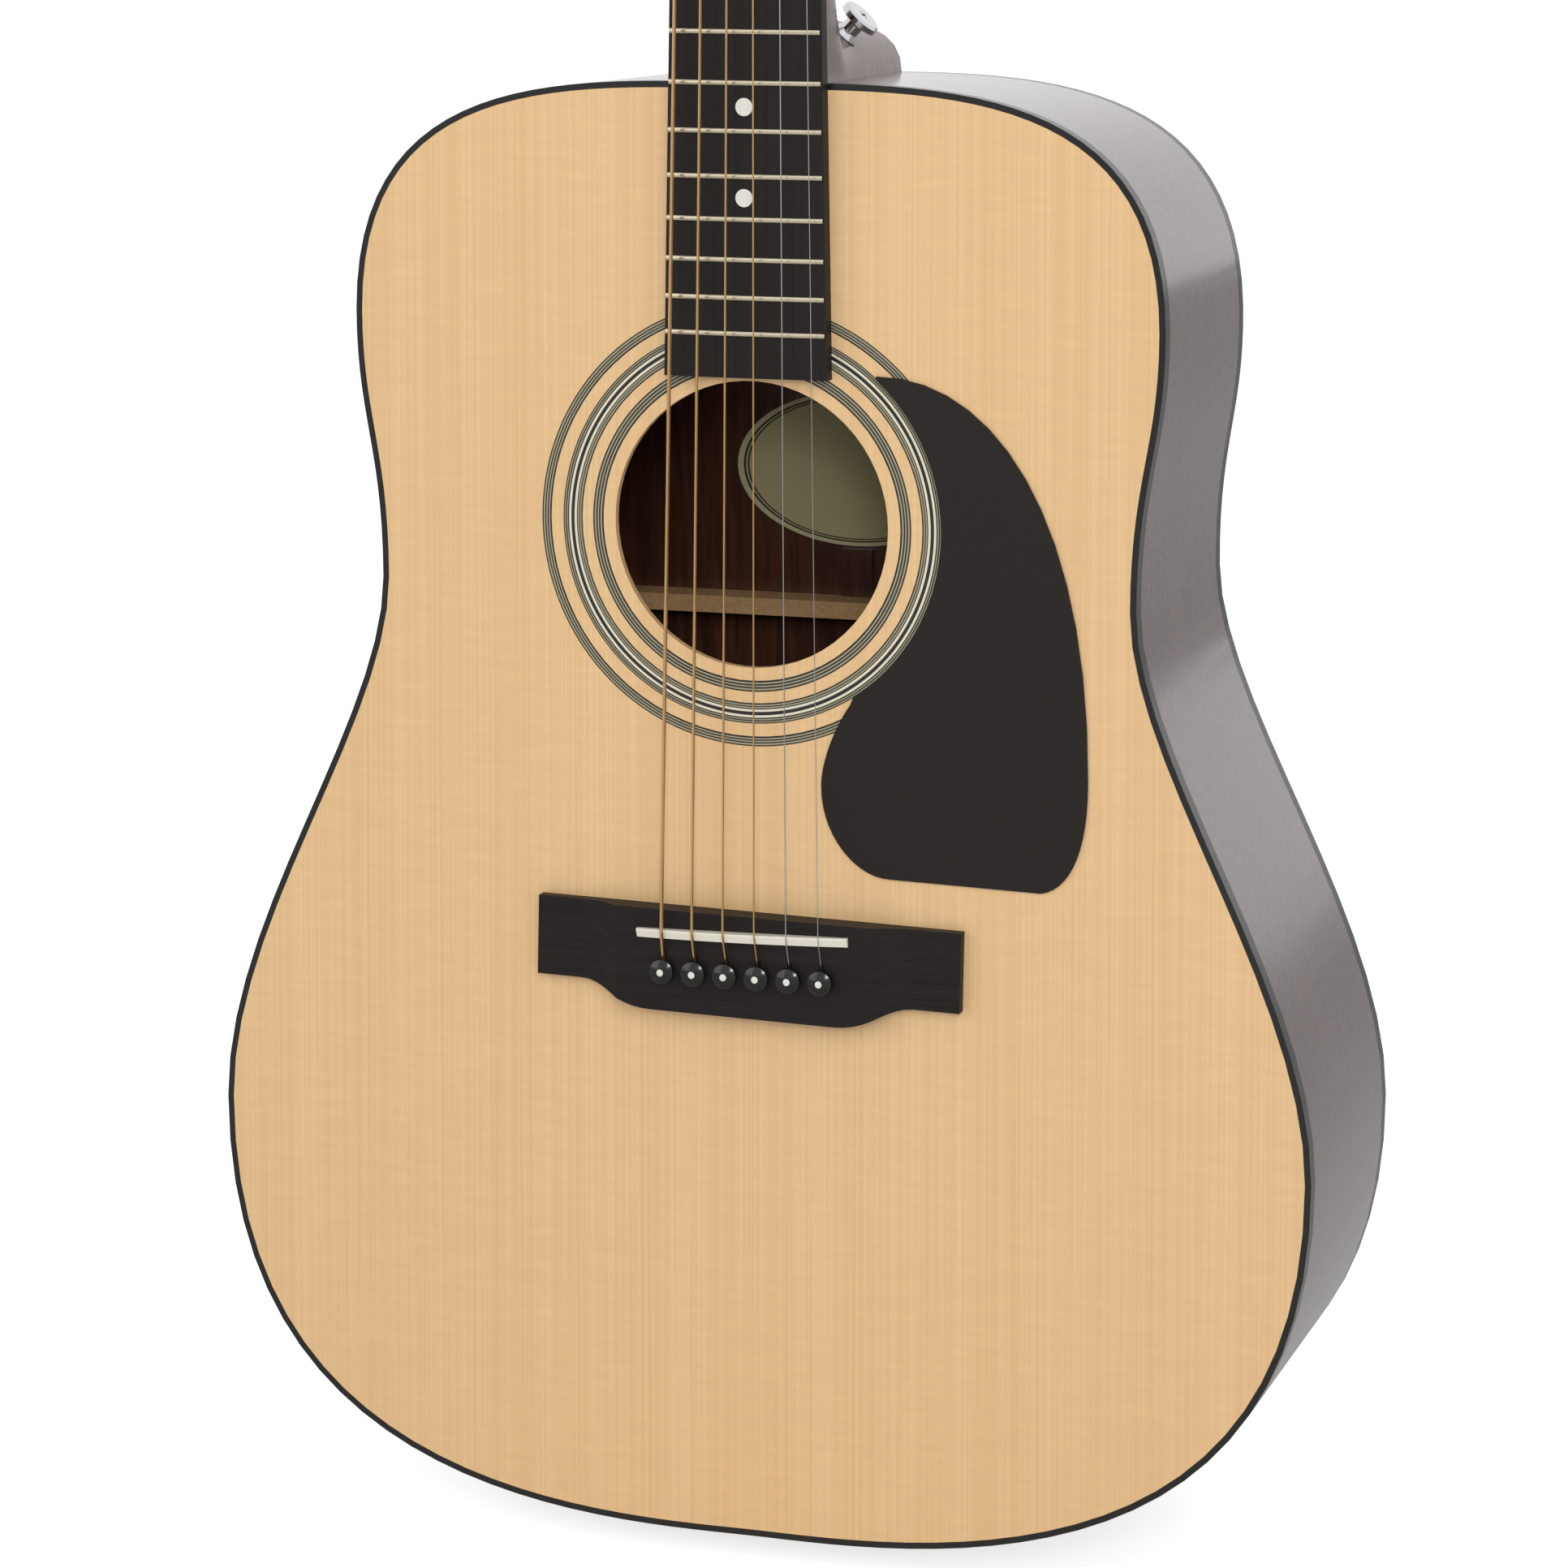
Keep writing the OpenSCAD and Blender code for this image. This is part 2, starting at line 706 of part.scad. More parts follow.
// Side profile of an X brace along its length, crossing at zero: peaked, scalloped, feathered
x_profile = [[-262, 0], [-262, 3], [-215, 5], [-170, 11.5], [-120, 8], [-70, 10], [-25, x_brace_h],
    [25, x_brace_h], [70, 13.5], [120, 11.5], [185, 4], [185, 0]];

module x_bar(s) {
    translate([0, top_t, x_cross_z]) rotate([0, -(90 - s * x_brace_angle), 0])
        translate([0, 0, -x_brace_w / 2]) linear_extrude(x_brace_w) polygon(x_profile);
}

// The straight strip that an X brace fills, between two depths
module x_strip(s, y0, y1) {
    translate([0, y0, x_cross_z]) rotate([0, -(90 - s * x_brace_angle), 0])
        translate([-huge / 2, 0, -x_brace_w / 2]) cube([huge, y1 - y0, x_brace_w]);
}

// The brace whose upper leg points to the treble side has its lower leg on the bass side
module x_brace_bass() {
    color("wheat") placed() difference() {
        intersection() {
            x_bar(1);
            glued_area();
        }
        x_strip(-1, lap_y, tail_depth);
    }
}

module x_brace_treble() {
    color("wheat") placed() difference() {
        intersection() {
            x_bar(-1);
            glued_area();
        }
        x_strip(1, -over, lap_y);
    }
}

function leg(s, l) = [s * l * sin(x_brace_angle), x_cross_z - l * cos(x_brace_angle)];

module clear_of_x() {
    difference() {
        children();
        x_strip(1, -over, tail_depth);
        x_strip(-1, -over, tail_depth);
    }
}

module tone_bars() {
    color("wheat") placed() clear_of_x() {
        laid_bar(leg(1, 135), [-118, 88], light_brace_w, tone_bar_h, 3);
        laid_bar(leg(1, 170), [-70, 48], light_brace_w, tone_bar_h, 3);
    }
}

soundhole_brace_x = 61;
upper_brace_z = hole_z + hole_r + 18;

module finger_braces() {
    low = x_cross_z + soundhole_brace_x / tan(x_brace_angle) + x_brace_w;
    color("wheat") placed() for (s = [-1, 1]) {
        clear_of_x() {
            laid_bar(leg(s, 92), leg(s, 92) + [s * 50, 58], light_brace_w, finger_brace_h, 2.5);
            laid_bar(leg(s, 162), leg(s, 162) + [s * 45, 34], light_brace_w, finger_brace_h, 2.5);
        }
        laid_bar([s * soundhole_brace_x, low],
            [s * soundhole_brace_x, upper_brace_z - upper_brace_w / 2],
            light_brace_w, finger_brace_h, finger_brace_h / 2);
    }
}

module upper_brace() {
    reach = upper_bout_w / 2;
    color("wheat") placed() intersection() {
        translate([0, top_t, upper_brace_z - upper_brace_w / 2]) linear_extrude(upper_brace_w)
            polygon([[-reach, 0], [-reach, 4], [-reach / 2, upper_brace_h],
                [reach / 2, upper_brace_h], [reach, 4], [reach, 0]]);
        glued_area();
    }
}

plate_low = pin_z - 12.5;
plate_high = pin_z + 29.5;
function between_legs(z) =
    (x_cross_z - z) * tan(x_brace_angle) - x_brace_w / 2 / cos(x_brace_angle);

module bridge_plate() {
    color("peru") placed() difference() {
        slab(top_t, top_t + plate_t) polygon([
            [-between_legs(plate_low), plate_low], [between_legs(plate_low), plate_low],
            [between_legs(plate_high), plate_high], [-between_legs(plate_high), plate_high]]);
        pin_holes();
    }
}

back_brace_z = [100, 192, 306, 396];
label_z = hole_z + 5;

// The inner face of the back: its depth on the centre line, its slope there, its fall sideways
inner_r = back_arch_r - back_t;
function back_inner_y(z) = arch_y + sqrt(pow(inner_r, 2) - pow(z - arch_z, 2));
function back_slope(z) = asin((z - arch_z) / inner_r);
function arch_fall(x) = sqrt(pow(inner_r, 2) - pow(x, 2)) - inner_r;
function arch_line(half, steps) = [for (i = [0:steps])
    let (x = half * (2 * i / steps - 1)) [x, arch_fall(x)]];

module on_back(z) {
    translate([0, back_inner_y(z), z]) rotate([back_slope(z), 0, 0]) children();
}

module back_braces() {
    reach = lower_bout_w / 2;
    color("wheat") placed() for (z = back_brace_z) intersection() {
        on_back(z) translate([0, 0, -back_brace_w / 2]) linear_extrude(back_brace_w)
            polygon(concat(arch_line(reach, 32), [[reach, arch_fall(reach) - 3],
                [reach / 2, -back_brace_h], [-reach / 2, -back_brace_h],
                [-reach, arch_fall(reach) - 3]]));
        glued_area();
    }
}

module back_strip() {
    color("wheat") placed() difference() {
        intersection() {
            body_box(-strip_w / 2, strip_w / 2, side_t + tail_block_l,
                body_len - side_t - neck_block_l);
            arch_ball(back_t);
        }
        arch_ball(back_t + strip_t);
        for (z = back_brace_z)
            on_back(z) translate([-strip_w, -2 * strip_t, -back_brace_w / 2])
                cube([2 * strip_w, 3 * strip_t, back_brace_w]);
        body_box(-strip_w, strip_w, label_z - label_h / 2 - over, label_z + label_h / 2 + over);
    }
}

label_t = 0.3;
label_points = 60;

module label() {
    rise = pow(label_h / 2, 2) / 2 / inner_r;
    outer = arch_line(label_w / 2 + over, 12);
    color("beige") placed() on_back(label_z) intersection() {
        slab(-label_h, over) polygon([for (i = [0:label_points - 1]) let (a = 360 * i / label_points)
            [label_w / 2 * cos(a), label_h / 2 * sin(a)]]);
        translate([0, 0, -label_h]) linear_extrude(2 * label_h) polygon(concat(
            [for (p = outer) p - [0, rise]],
            [for (i = [len(outer) - 1:-1:0]) outer[i] - [0, rise + label_t]]));
    }
}

// A strap button standing up from z = 0, with a countersunk hole for its screw
module strap_button() {
    color("silver") difference() {
        rotate_extrude($fn = 64) polygon(concat(
            [[0, 0], [button_base_r, 0], [button_base_r, button_base_t],
                [button_waist_r, button_base_t + 2], [button_waist_r, rim_top - button_band - 1.5],
                [button_r, rim_top - button_band], [button_r, rim_top],
                [button_r - 0.8, button_h], [0, button_h]]));
        translate([0, 0, -over]) cylinder(r = strap_screw_r, h = button_h, $fn = 32);
        translate([0, 0, button_h - 2.5]) cylinder(r1 = strap_screw_r, r2 = 3.4, h = 2.5, $fn = 32);
        translate([0, 0, button_h]) cylinder(r = 3.4, h = over, $fn = 32);
    }
}

strap_screw_l = 20;
module strap_screw() {
    color("silver") difference() {
        union() {
            translate([0, 0, -strap_screw_l]) cylinder(r = strap_screw_r,
                h = strap_screw_l + button_h - 1, $fn = 32);
            translate([0, 0, button_h - 2.5])
                cylinder(r1 = strap_screw_r, r2 = 3.4, h = 2.5, $fn = 32);
        }
        for (a = [0, 90]) rotate([0, 0, a]) translate([-1.8, -0.35, button_h - 1.4])
            cube([3.6, 0.7, 1.4 + over]);
    }
}

module at_tail_button() {
    placed() translate([0, tail_depth / 2, 0]) rotate([180, 0, 0]) children();
}

// Half width of the fingerboard and of the neck under it
function board_half(z) = nut_w / 2
    + (board_end_w - nut_w) / 2 * (nut_z - z) / (nut_z - board_end_z);

// The heel: its reach from the body at each depth, and its half width
heel_y = 30;
heel_blend_y = 13;
heel_round = 2.4;
heel_slope = (board_half(body_len) - heel_end_w) / neck_depth;
function heel_reach(y) = y < heel_y
    ? heel_l_front + heel_blend * pow((heel_y - y) / heel_blend_y, 2)
    : heel_l_front - (heel_l_front - heel_l_back) * (y - heel_y) / (neck_depth - heel_y);
function heel_half(z, y) = let (u = (z - body_len) / heel_reach(y))
    u < 1 ? (board_half(z) - heel_slope * y) * sqrt(1 - pow(u, heel_round)) : 0;
function heel_depth(z) = let (c = z - body_len)
    c <= heel_l_back ? neck_depth
    : c <= heel_l_front
        ? heel_y + (neck_depth - heel_y) * (heel_l_front - c) / (heel_l_front - heel_l_back)
        : heel_y - heel_blend_y * sqrt((c - heel_l_front) / heel_blend);

shaft_round = 2.3;
function shaft_depth(z) = neck_t_nut
    + (neck_t_body - neck_t_nut) * (nut_z - z) / (nut_z - body_len);
function shaft_half(z, y) = let (u = y / shaft_depth(z))
    u < 1 ? board_half(z) * sqrt(1 - pow(u, shaft_round)) : 0;

// Points down one side of the neck's section
side_points = 14;
front_points = 8;
least_half = 0.05;
function neck_y(z, j) = let (
        d = max(shaft_depth(z), heel_depth(z)),
        deep = max(0, min(1, (d - heel_y) / (neck_depth - heel_y))),
        shaft = d * sin(90 * j / side_points),
        heel = j <= front_points ? (heel_y - 2) * pow(j / front_points, 0.8)
            : heel_y - 2 + (d - heel_y + 2) * (j - front_points) / (side_points - 1 - front_points))
    j == side_points ? d : deep * min(heel, d) + (1 - deep) * shaft;
function neck_side(z) = [for (j = [0:side_points]) let (y = neck_y(z, j))
    [j == side_points ? 0 : max(least_half, heel_half(z, y), shaft_half(z, y)), y]];

// The headstock frame: its front face starts behind the nut and leans back
pivot_z = nut_z + nut_t;
flare_l = 28;
function head_half(z) = z < flare_l
    ? let (u = max(0, z / flare_l)) nut_w / 2 + (head_w_low - nut_w / 2) * u * u * (3 - 2 * u)
    : head_w_low + (head_w_tip - head_w_low) * (z - flare_l) / (head_l - flare_l);

// Sections that turn the round neck into the flat headstock
turn_steps = [0, 3, nut_t, 9, 13, 17, 21, 25, 29, 33];
turn_end = 33;
skin_inset = 0.02;
function turn_side(dz) = let (
        u = dz / turn_end, off = dz - nut_t,
        top = max(0, off * tan(head_angle)) + (off > 0 ? skin_inset : 0),
        rear = head_t / cos(head_angle) + off * tan(head_angle),
        rear_0 = head_t / cos(head_angle) - nut_t * tan(head_angle),
        low = rear + (neck_t_nut - rear_0) * pow(1 - u, 2) - skin_inset * u,
        w = (off > 0 ? head_half(off / cos(head_angle)) : nut_w / 2) - skin_inset * u,
        p = shaft_round + 14 * u * u, q = 0.5 * (1 - u) + 0.07 * u)
    [for (j = [0:side_points]) let (f = sin(90 * j / side_points))
        [j == side_points ? 0 : max(least_half, w * pow(1 - pow(f, p), q)),
            top + (low - top) * f]];

heel_steps = [0, 5, 9.5, 13, 16, 18, 19.4, 20.4, 21.4, 22.5, 23.6, 24.8, 26, 27.5, 30, 33.5, 38,
    44, 51, 59, 68, 80];
shaft_steps = 5;
neck_stations = concat(
    [for (c = heel_steps) body_len + c],
    [for (i = [1:shaft_steps])
        body_len + 80 + (nut_z - body_len - 80) * i / (shaft_steps + 1)]);

function closed_section(side, z) = concat([for (p = side) [p[0], p[1], z]],
    [for (j = [len(side) - 2:-1:0]) [-side[j][0], side[j][1], z]]);

// Skin over rings of equal length, closed by flat ends
module skin(rings) {
    n = len(rings[0]);
    m = len(rings);
    polyhedron(
        points = [for (r = rings) each r],
        faces = concat(
            [[for (k = [0:n - 1]) k]],
            [[for (k = [n - 1:-1:0]) (m - 1) * n + k]],
            [for (i = [0:m - 2]) for (k = [0:n - 1]) let (a = i * n + k, b = i * n + (k + 1) % n)
                each [[a, a + n, b], [b, a + n, b + n]]]));
}

module on_head() {
    placed() translate([0, 0, pivot_z]) rotate([-head_angle, 0, 0]) children();
}

// Plan of the headstock above a height
tip_round = 9;
tip_rise = 5;
tip_curve = [[head_w_tip, head_l - tip_round], [head_w_tip, head_l], [head_w_tip - 4, head_l + 1],
    [0, head_l + tip_rise]];
module head_plan(z0) {
    polygon(mirrored(concat(
        z0 < flare_l ? [for (i = [0:9]) let (z = z0 + (flare_l - z0) * i / 9) [head_half(z), z]]
            : [[head_half(z0), z0]],
        [for (i = [0:10]) bez(tip_curve, i / 10)])));
}

function side_of(i) = i < 3 ? -1 : 1;
function tuner_z(i) = tuner_z0 + tuner_step * (i < 3 ? i : string_count - 1 - i);
function post_x(i) = side_of(i) * (head_half(tuner_z(i)) - post_in);
post_stand = head_t + veneer_t;

// The frame of one tuner: at its post, on the back of the headstock, with x outward
module at_tuner(i) {
    on_head() translate([post_x(i), head_t, tuner_z(i)])
        mirror([side_of(i) < 0 ? 1 : 0, 0, 0]) children();
}

module post_bores() {
    for (i = [0:string_count - 1]) translate([post_x(i), 0, tuner_z(i)])
        bar_y(bushing_r, -veneer_t - over, head_t + over);
}

rod_y = 6;
rod_r = 2.5;
rod_end_z = body_len + 14;
pocket_half = 5.2;
pocket_l = 26;
pocket_d = 9.8;
slab_start = 24;

module rod_pocket(y0) {
    translate([-pocket_half, y0, over / 2]) cube([2 * pocket_half, pocket_d - y0, pocket_l]);
}

ear_l = 12;
ear_screw_r = 1.1;

cover_screw_at = [[-8, 7], [8, 7], [0, 35]];
cover_t = 1.8;

module neck() {
    color("sienna") difference() {
        union() {
            placed() {
                skin(concat([for (z = neck_stations) closed_section(neck_side(z), z)],
                    [for (t = turn_steps) closed_section(turn_side(t), nut_z + t)]));
                dovetail(0);
            }
            on_head() slab(0, head_t) head_plan(slab_start);
        }
        placed() {
            translate([-rod_w / 2, -over, rod_end_z])
                cube([rod_w, rod_h + over, pivot_z - rod_end_z + over]);
            at_heel_button() cylinder(r = button_base_r + 0.3, h = 30, $fn = 48);
            at_heel_button() translate([0, 0, -strap_screw_l - over])
                cylinder(r = strap_screw_r, h = strap_screw_l + 2 * over, $fn = 32);
        }
        on_head() {
            post_bores();
            rod_pocket(-over);
            for (p = cover_screw_at) translate([p[0], 0, p[1]]) bar_y(ear_screw_r, -over, 6, 24);
        }
        for (i = [0:string_count - 1]) at_tuner(i)
            translate([0, 0, -ear_l]) bar_y(ear_screw_r, -8, over, 24);
    }
}

// The heel's strap button stands at 45 degrees on the treble cheek of the heel
heel_button_x = 18.73;
heel_button_up = 14.9;
module at_heel_button() {
    inward = button_seat_cut * sqrt(0.5);
    translate([heel_button_x - inward, heel_button_y, body_len + heel_button_up - inward])
        rotate([0, 45, 0]) children();
}

module strap_button_tail() {
    at_tail_button() strap_button();
}

module strap_button_heel() {
    placed() at_heel_button() strap_button();
}

module strap_button_screws() {
    at_tail_button() strap_screw();
    placed() at_heel_button() strap_screw();
}

function fret_z(n) = nut_z - scale_len * (1 - pow(2, -n / 12));

// A ring segment that follows the crown of the fingerboard, with a given flat profile
module crowned(z, half) {
    a = asin(half / board_r);
    translate([0, board_r - board_t, z]) rotate([0, 0, -90 - a])
        rotate_extrude(angle = 2 * a, $fn = 360) translate([board_r, 0]) children();
}

fret_in = 0.5;
module fret_tangs() {
    for (n = [1:fret_count]) crowned(fret_z(n), board_half(fret_z(n)) - fret_in)
        translate([-tang_d, -tang_t / 2]) square([tang_d + fret_h / 2, tang_t]);
}

dot_frets = [3, 5, 7, 9, 15, 17];
twin_dot_fret = 12;
twin_dot_x = 13;
side_dot_y = 2.6;
side_dot_l = 2;
function between_frets(n) = (fret_z(n) + fret_z(n - 1)) / 2;

module dots() {
    for (n = dot_frets) translate([0, 0, between_frets(n)])
        bar_y(dot_d / 2, -board_t - over, -board_t + dot_t);
    for (s = [-1, 1]) translate([s * twin_dot_x, 0, between_frets(twin_dot_fret)])
        bar_y(dot_d / 2, -board_t - over, -board_t + dot_t);
    for (n = concat(dot_frets, [twin_dot_fret])) let (z = between_frets(n))
        for (k = n == twin_dot_fret ? [-1, 1] : [0])
            translate([-board_half(z) - over, -side_dot_y, z + 3 * k]) rotate([0, 90, 0])
                cylinder(r = side_dot_d / 2, h = over + side_dot_l, $fn = 72);
}

module board_blank() {
    intersection() {
        slab(-board_t - over, 0) polygon([[-board_end_w / 2, board_end_z],
            [board_end_w / 2, board_end_z], [nut_w / 2, nut_z], [-nut_w / 2, nut_z]]);
        translate([0, board_r - board_t, board_end_z - over])
            cylinder(r = board_r, h = nut_z - board_end_z + 2 * over, $fn = 1440);
    }
}

module fingerboard() {
    color("saddlebrown") placed() difference() {
        board_blank();
        fret_tangs();
        dots();
    }
}

module frets() {
    color("silver") placed() {
        for (n = [1:fret_count]) crowned(fret_z(n), board_half(fret_z(n)) - fret_in)
            intersection() {
                circle(r = fret_h, $fn = 32);
                translate([0, -fret_w]) square([fret_w, 2 * fret_w]);
            }
        fret_tangs();
    }
}

module fret_markers() {
    color("white") placed() intersection() {
        dots();
        board_blank();
    }
}

// Where each string passes the saddle and the nut, at the middle of the string
function string_r(i) = string_d[i] / 2;
function spread_x(i, spread) = (i - (string_count - 1) / 2) / (string_count - 1) * spread;
function crown_drop(x) = pow(x, 2) / 2 / board_r;
function saddle_point(i) = let (x = spread_x(i, saddle_spread))
    [x, crown_drop(x) - saddle_h - string_r(i) - string_rest,
        saddle_z + x * tan(saddle_slant) + saddle_peak];
function nut_point(i) = let (x = spread_x(i, nut_spread))
    [x, crown_drop(x) - board_t - fret_h - nut_gap - string_r(i) - string_rest, nut_z];

function unit(v) = v / norm(v);
function off_head(p) = [p[0], p[1] * cos(head_angle) + p[2] * sin(head_angle),
    pivot_z + p[2] * cos(head_angle) - p[1] * sin(head_angle)];
function to_head(p) = let (z = p[2] - pivot_z)
    [p[0], p[1] * cos(head_angle) - z * sin(head_angle),
        z * cos(head_angle) + p[1] * sin(head_angle)];

// The winding of a string: its radius, its start, and where the straight run meets it
function wind_r(i) = post_r + wind_gap + string_r(i);
function wind_pitch(i) = string_d[i] + turn_gap;
function wind_start(i) = post_hole_h - string_turns[i] * wind_pitch(i);
function meet_angle(i) = let (
        n = to_head(nut_point(i)), d = [post_x(i) - n[0], tuner_z(i) - n[2]])
    atan2(d[1], d[0]) + side_of(i) * asin(wind_r(i) / norm(d)) + side_of(i) * 90;
wind_steps = 24;
function winding(i) = [for (k = [0:string_turns[i] * wind_steps]) let (
        a = meet_angle(i) - side_of(i) * k * 360 / wind_steps,
        h = wind_start(i) + k / wind_steps * wind_pitch(i))
    off_head([post_x(i) + wind_r(i) * cos(a), -veneer_t - h, tuner_z(i) + wind_r(i) * sin(a)])];

// The bend over the front edge of the pin hole
bend_steps = 6;
function bend(i) = let (
        c = [pin_x(i), -bend_depth, pin_z + string_in + bend_r],
        d = saddle_point(i) - c,
        e = atan2(-d[1], d[2]) - asin(bend_r / norm([d[1], d[2]])))
    [for (k = [0:bend_steps]) let (t = 90 + (e - 90) * k / bend_steps)
        c + bend_r * [0, -cos(t), -sin(t)]];

function string_path(i) = concat(
    [[pin_x(i), top_t + plate_t + ball_r, pin_z + ball_in - ball_r - string_r(i)]],
    bend(i), [saddle_point(i), nut_point(i)], winding(i));

tube_sides = 6;
post_axis = [0, cos(head_angle), -sin(head_angle)];
function across(p, k) = k == 0 ? unit(p[1] - p[0])
    : k == len(p) - 1 ? unit(p[k] - p[k - 1])
    : unit(unit(p[k + 1] - p[k]) + unit(p[k] - p[k - 1]));
function tube_ring(p, k, r) = let (
        t = across(p, k),
        n = k < bend_steps + 3 ? unit([1, 0, 0] - t[0] * t) : unit(cross(post_axis, t)),
        m = cross(t, n))
    [for (j = [0:tube_sides - 1]) let (a = 360 * j / tube_sides)
        p[k] + r * (cos(a) * n + sin(a) * m)];

module guitar_string(i) {
    p = string_path(i);
    skin([for (k = [len(p) - 1:-1:0]) tube_ring(p, k, string_r(i))]);
}

module wound_strings() {
    color("peru") placed() for (i = [0:3]) guitar_string(i);
}

module plain_strings() {
    color("silver") placed() for (i = [4:5]) guitar_string(i);
}

// Least gap between the turns of a winding, on the middle of the string
function turn_gaps(i) = let (w = winding(i), far = wind_steps / 2)
    min([for (a = [0:len(w) - 1 - far]) for (b = [a + far:len(w) - 1])
        norm(w[a] - w[b])]) - string_d[i];
echo(least_turn_gaps = [for (i = [0:string_count - 1]) turn_gaps(i)]);

module ball_ends() {
    color("goldenrod") placed() for (i = [0:string_count - 1])
        translate([pin_x(i) - ball_half, top_t + plate_t + ball_r, pin_z + ball_in])
            rotate([0, 90, 0]) difference() {
                cylinder(r = ball_r, h = 2 * ball_half, $fn = 32);
                translate([0, 0, -over]) cylinder(r = 0.8, h = 2 * ball_half + 2 * over, $fn = 24);
            }
}

nut_stand = 0.5;
slot_room = 0.06;
nut_h = board_t + fret_h + nut_gap + nut_stand;

module nut_slot(i) {
    p = nut_point(i);
    d = unit(winding(i)[0] - p);
    r = string_r(i) + slot_room;
    translate(p) rotate([-atan2(d[1], d[2]), 0, 0]) rotate([0, asin(d[0]), 0]) {
        translate([0, 0, -over]) cylinder(r = r, h = 2 * nut_t, $fn = 32);
        translate([-r, -nut_t, -over]) cube([2 * r, nut_t, 2 * nut_t]);
    }
}

module nut() {
    color("ivory") placed() difference() {
        intersection() {
            translate([-nut_w / 2, -nut_h, nut_z]) cube([nut_w, nut_h, nut_t]);
            translate([0, board_r - nut_h, nut_z - over])
                cylinder(r = board_r, h = nut_t + 2 * over, $fn = 360);
        }
        for (i = [0:string_count - 1]) nut_slot(i);
    }
}

module headstock_veneer() {
    color("black") on_head() difference() {
        slab(-veneer_t, 0) head_plan(0);
        post_bores();
        rod_pocket(-veneer_t - over);
        for (p = cover_screw_at) translate([p[0], 0, p[1]])
            bar_y(ear_screw_r, -veneer_t - over, over, 24);
    }
}

bar_h = 3;
bar_top = 0.4;
rod_nut_z = pivot_z + 2.5;
rod_nut_l = 12;
rod_into_nut = 6;

module truss_rod() {
    color("dimgray") placed() {
        translate([-rod_w / 2 + 0.1, bar_top, rod_end_z + 2])
            cube([rod_w - 0.2, bar_h, nut_z - rod_end_z - 4]);
        translate([0, rod_y, rod_end_z + 2])
            cylinder(r = rod_r, h = rod_nut_z + rod_into_nut - rod_end_z - 2, $fn = 48);
        for (z = [rod_end_z + 2, nut_z - 14]) translate([-rod_w / 2 + 0.1, bar_top + bar_h, z])
            cube([rod_w - 0.2, rod_y + rod_r - bar_top - bar_h, 10]);
    }
}

module truss_rod_nut() {
    socket_r = 2.9;
    color("goldenrod") placed() translate([0, rod_y, rod_nut_z]) difference() {
        cylinder(r = rod_nut_r, h = rod_nut_l, $fn = 48);
        translate([0, 0, -over])
            cylinder(r = rod_r + run_clear, h = rod_into_nut + 0.5 + over, $fn = 48);
        translate([0, 0, rod_into_nut + 1.5]) cylinder(r = socket_r, h = rod_nut_l, $fn = 6);
    }
}

module truss_rod_cover() {
    curve = [[12.5, 2.5], [12.5, 18], [5.5, 20], [5, 34]];
    round_end = [for (a = [0:15:90]) [5 * cos(a), 35 + 5 * sin(a)]];
    color("black") on_head() difference() {
        slab(-veneer_t - cover_t, -veneer_t)
            polygon(mirrored(concat([for (i = [0:10]) bez(curve, i / 10)], round_end)));
        for (p = cover_screw_at) translate([p[0], 0, p[1]])
            bar_y(ear_screw_r, -veneer_t - cover_t - over, over, 24);
    }
}

// A small wood screw: a round head on a plate at y = 0, pointing along +y
module wood_screw(l) {
    difference() {
        union() {
            bar_y(2.1, -1.1, 0, 32);
            bar_y(ear_screw_r, -0.5, l, 24);
        }
        translate([-3, -1.1 - over, -0.25]) cube([6, over + 0.5, 0.5]);
    }
}

module truss_cover_screws() {
    color("silver") on_head() for (p = cover_screw_at)
        translate([p[0], -veneer_t - cover_t, p[1]]) wood_screw(cover_t + veneer_t + 5.5);
}

// Housing of a tuner: a cup over the gears, open to the headstock
house_x = [-8.5, 9.5];
house_z = [-8, 12.6];
worm_room = [-5.2, 6.2];
collar_r = 3.6;
collar_end = 13.4;
foot_journal_r = 2;
worm_journal_r = 1.5;
cup_floor = 2;
ear_t = 1.6;

module tuner_housing() {
    room = worm_room[1] - worm_room[0];
    difference() {
        union() {
            translate([house_x[0], 0, house_z[0]])
                cube([house_x[1] - house_x[0], housing_h, house_z[1] - house_z[0]]);
            translate([house_x[1] - over, gear_mid, shaft_dist]) rotate([0, 90, 0])
                cylinder(r = collar_r, h = collar_end - house_x[1] + over, $fn = 48);
            translate([-4, 0, -ear_l]) cube([8, ear_t, ear_l]);
            translate([0, 0, -ear_l]) bar_y(4, 0, ear_t);
        }
        bar_y(chamber_r, -over, housing_h - cup_floor);
        bar_y(foot_journal_r + run_clear, 0, housing_h + over);
        translate([worm_room[0], -over, shaft_dist - worm_bore_r])
            cube([room, gear_mid + over, 2 * worm_bore_r]);
        translate([worm_room[0], gear_mid, shaft_dist]) rotate([0, 90, 0])
            cylinder(r = worm_bore_r, h = room, $fn = 48);
        translate([0, gear_mid, shaft_dist]) rotate([0, 90, 0])
            cylinder(r = knob_shaft_r + run_clear, h = collar_end + over, $fn = 48);
        translate([house_x[0] - over, gear_mid, shaft_dist]) rotate([0, 90, 0])
            cylinder(r = worm_journal_r + run_clear, h = -house_x[0], $fn = 48);
        translate([0, 0, -ear_l]) bar_y(ear_screw_r, -over, ear_t + over, 24);
    }
}

module tuner_housings() {
    color("silver") for (i = [0:string_count - 1]) at_tuner(i) tuner_housing();
}

hex_r = 5.9;
hex_t = 1.6;
washer_t = 1;

